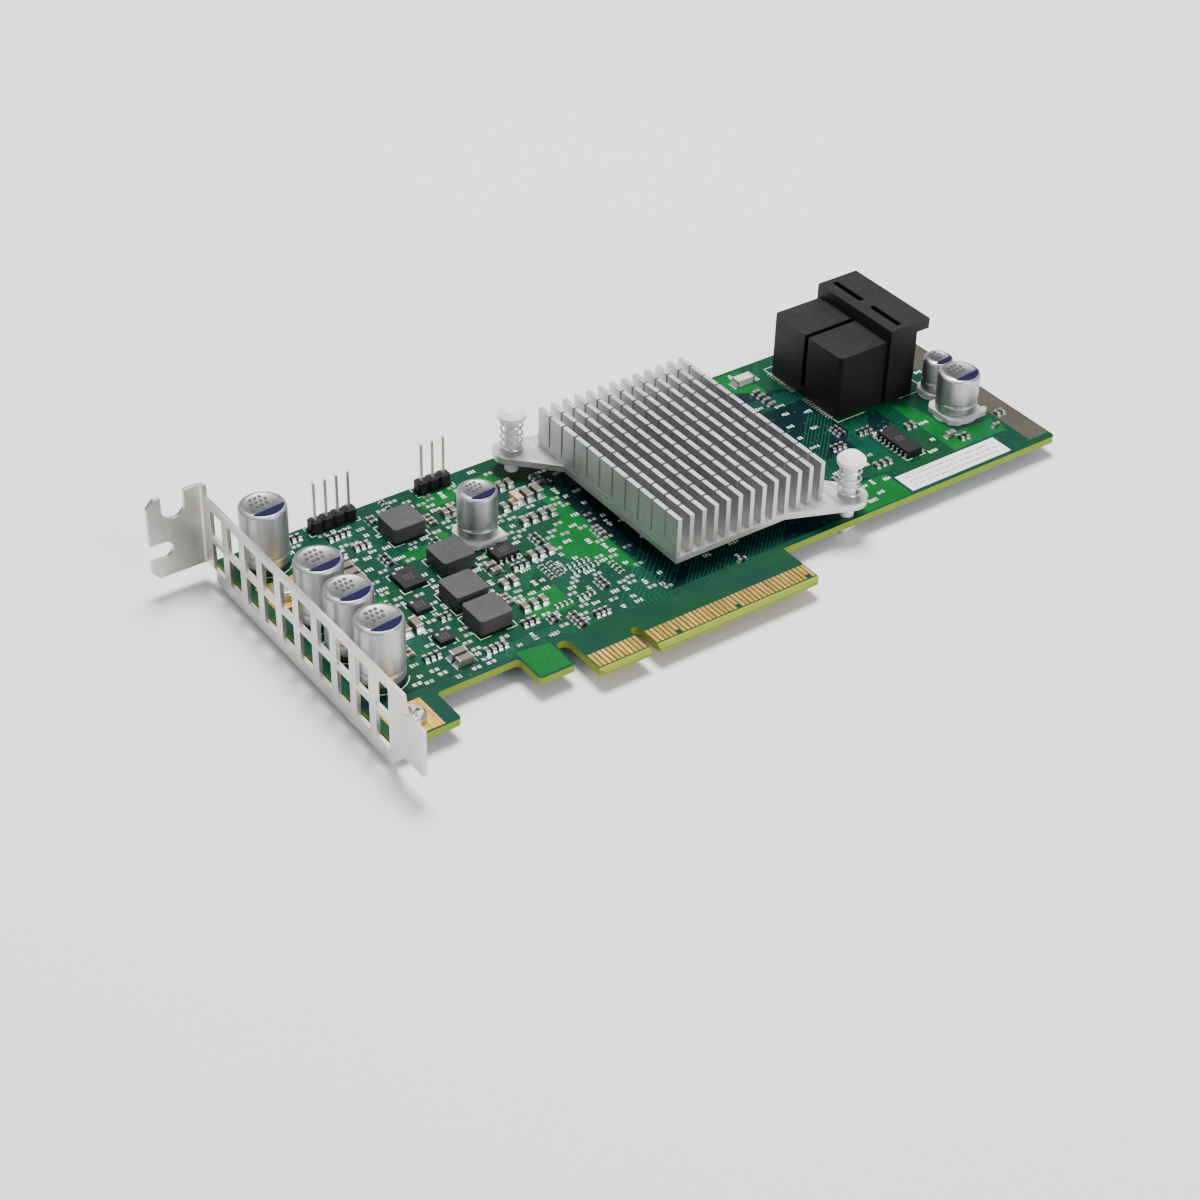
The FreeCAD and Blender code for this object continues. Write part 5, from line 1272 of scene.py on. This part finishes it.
class CARD_OT_solder_side(CardOperator, bpy.types.Operator):
    """Solders the through-hole pins on the solder side"""

    bl_idname = "card.solder_side"
    bl_label = "Solder side"

    def execute(self, context):
        rows = []
        for node, radius in PIN_JOINTS:
            for low, high in solids_of(node):
                if low.z < BACK:
                    depth = min(BACK - low.z, DOME_DEPTH)
                    rows.append((((low.x + high.x) / 2, (low.y + high.y) / 2, BACK), 0.0,
                                 (radius, radius, -depth)))
        piece = scattered("through_hole_joints", dome(), rows, "Solder")
        piece.data.flip_normals()
        return {"FINISHED"}


class CARD_OT_printing(CardOperator, bpy.types.Operator):
    """Prints the outlines and marks on the board, and the label's faint marks"""

    bl_idname = "card.printing"
    bl_label = "Printing"

    def execute(self, context):
        values = context.scene.card_board
        give("printed_label", "Label film")
        ribbons("printed_outlines", self.corners() + self.rings(), values.ink_width,
                values.ink_rise, FACE, "White ink")
        taken = footprints(1)
        self.bare_pads(taken)
        self.dashes(values, taken)
        self.label_marks()
        return {"FINISHED"}

    def corners(self):
        """Printed corners round the square parts."""
        outlines = []
        for node in OUTLINED_NODES:
            low, high = [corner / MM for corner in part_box(node)]
            left, right = low.x - OUTLINE_GAP, high.x + OUTLINE_GAP
            bottom, top = low.y - OUTLINE_GAP, high.y + OUTLINE_GAP
            reach = min(right - left, top - bottom) * CORNER_SHARE
            for x, y, step_x, step_y in ((left, bottom, 1, 1), (right, bottom, -1, 1),
                                         (right, top, -1, -1), (left, top, 1, -1)):
                outlines.append([(x + step_x * reach, y), (x, y), (x, y + step_y * reach)])
        return outlines

    def rings(self):
        """Printed rings round the cans, each with a gap."""
        outlines = []
        for node in CANS:
            low, high = [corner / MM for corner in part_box(node)]
            radius = (high.x - low.x) / 2 + OUTLINE_GAP
            outlines.append(arc(radius, 0.0, OUTLINE_SWEEP, OUTLINE_STEPS, (low + high) / 2))
        return outlines

    def has_room(self, x, y, span, taken):
        """Whether a mark has room at a place, which it then takes."""
        box = (x - span[0], y - span[1], x + span[0], y + span[1])
        free = free_of(box, taken) and on_board(x, y, MARK_MARGIN)
        if free:
            taken.append(box)
        return free

    def bare_pads(self, taken):
        """Pairs of tinned pads that carry no part."""
        dice = random.Random(PAD_SEED)
        spread = [side * MM for side in (*PAD_SIZE, PAD_RISE)]
        rows = []
        for _ in range(PAD_TRIES):
            x, y = dice.uniform(AREA_LEFT, BUSY_END), dice.uniform(AREA_BOTTOM, AREA_TOP)
            if self.has_room(x, y, PAD_REACH, taken):
                rows += [(((x + shift) * MM, y * MM, FACE), 0.0, spread)
                         for shift in (-PAD_SHIFT, PAD_SHIFT)]
        scattered("bare_pads", block(), rows, "Tinned metal")

    def dashes(self, values, taken):
        """Short rows of plain dashes where a card has its small printing."""
        dice = random.Random(DASH_SEED)
        rows = []
        for _ in range(DASH_TRIES):
            x, y = dice.uniform(AREA_LEFT, AREA_RIGHT), dice.uniform(AREA_BOTTOM, AREA_TOP)
            if x > BUSY_END and dice.random() > QUIET_SHARE:
                continue
            count = dice.choice(DASH_COUNTS)
            upright = dice.random() < UPRIGHT_SHARE
            reach = count * DASH_PITCH / 2 + DASH_END
            span = (DASH_HALF, reach) if upright else (reach, DASH_HALF)
            if not self.has_room(x, y, span, taken):
                continue
            turn = math.pi / 2 if upright else 0.0
            for i in range(count):
                shift = (i - (count - 1) / 2) * DASH_PITCH
                spot = (x, y + shift) if upright else (x + shift, y)
                tall = DASH_LENGTH * dice.choice(DASH_SIZES)
                rows.append(((spot[0] * MM, spot[1] * MM, FACE), turn,
                             (DASH_WIDTH * MM, tall * MM, values.ink_rise)))
        scattered("printed_dashes", block(), rows, "White ink")

    def label_marks(self):
        """Faint dashes on the label, with no letters."""
        dice = random.Random(DASH_SEED)
        low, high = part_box("printed_label")
        rows = []
        for share in LABEL_LINES:
            y = low.y + (high.y - low.y) * share
            x = low.x + LABEL_START * MM
            while x < high.x - LABEL_END * MM:
                long = dice.uniform(*LABEL_LENGTHS) * MM
                rows.append(((x + long / 2, y, high.z), 0.0, (long, LABEL_HEIGHT * MM, THIN_INK)))
                x += long + dice.choice(LABEL_SPACES) * MM
        scattered("label_marks", block(), rows, "Label print")


class CARD_OT_stage(CardOperator, bpy.types.Operator):
    """Sets the floor, the soft lights and the camera"""

    bl_idname = "card.stage"
    bl_label = "Studio"

    def execute(self, context):
        self.floor()
        self.lights(context.scene)
        self.camera(context.scene, context.scene.card_studio)
        return {"FINISHED"}

    def floor(self):
        mesh = bpy.data.meshes.new("studio_floor")
        mesh.from_pydata([(x * FLOOR_HALF, y * FLOOR_HALF, cad_low.z) for x, y in (
            (-1, -1), (1, -1), (1, 1), (-1, 1))], [], [(0, 1, 2, 3)])
        mesh.materials.append(finish("Studio floor"))
        new_object("studio_floor", mesh)

    def lights(self, scene):
        world = bpy.data.worlds.new("Studio")
        world.use_nodes = True
        sky = world.node_tree.nodes["Background"]
        sky.inputs["Color"].default_value = SKY_COLOUR
        sky.inputs["Strength"].default_value = SKY_STRENGTH
        scene.world = world
        for name, place, size, power in STUDIO_LIGHTS:
            data = bpy.data.lights.new(name, "AREA")
            data.shape = "DISK"
            data.size = size
            data.energy = power
            lamp = new_object(name, data)
            lamp.location = place
            aim = Vector(CARD_MIDDLE) - Vector(place)
            lamp.rotation_euler = aim.to_track_quat("-Z", "Y").to_euler()

    def camera(self, scene, values):
        data = bpy.data.cameras.new("Camera")
        data.sensor_width = SENSOR_MM
        data.lens = values.lens
        data.clip_start = NEAREST
        camera = new_object("Camera", data)
        flat = math.cos(values.elevation)
        away = Vector((math.sin(values.azimuth) * flat, -math.cos(values.azimuth) * flat,
                       math.sin(values.elevation)))
        camera.location = Vector(values.aim) + away * values.distance
        look = (-away).to_track_quat("-Z", "Y").to_matrix()
        camera.rotation_euler = (look @ Matrix.Rotation(values.roll, 3, "Z")).to_euler()
        scene.camera = camera


class CARD_PT_panel(bpy.types.Panel):
    """Lists the card's pieces"""

    bl_idname = "CARD_PT_panel"
    bl_label = "RAID Controller Card"
    bl_space_type = "VIEW_3D"
    bl_region_type = "UI"
    bl_category = "Card"

    def draw(self, context):
        for operator in PIECES:
            self.layout.operator(operator.bl_idname)
        for name, settings in SETTINGS.items():
            for key in settings.__annotations__:
                self.layout.prop(getattr(context.scene, name), key)


PIECES = (CARD_OT_board, CARD_OT_contacts, CARD_OT_bracket, CARD_OT_heatsink, CARD_OT_push_pins,
          CARD_OT_controller, CARD_OT_connector, CARD_OT_capacitors, CARD_OT_headers,
          CARD_OT_inductors, CARD_OT_chips, CARD_OT_chip_parts, CARD_OT_solder_side,
          CARD_OT_printing, CARD_OT_stage)
CLASSES = (*SETTINGS.values(), *PIECES, CARD_PT_panel)


def register():
    for made in CLASSES:
        bpy.utils.register_class(made)
    for name, settings in SETTINGS.items():
        setattr(bpy.types.Scene, name, bpy.props.PointerProperty(type=settings))


def unregister():
    for name in SETTINGS:
        delattr(bpy.types.Scene, name)
    for made in reversed(CLASSES):
        bpy.utils.unregister_class(made)


def main():
    register()
    for operator in PIECES:
        group, name = operator.bl_idname.split(".")
        getattr(getattr(bpy.ops, group), name)()


if __name__ == "__main__":
    main()
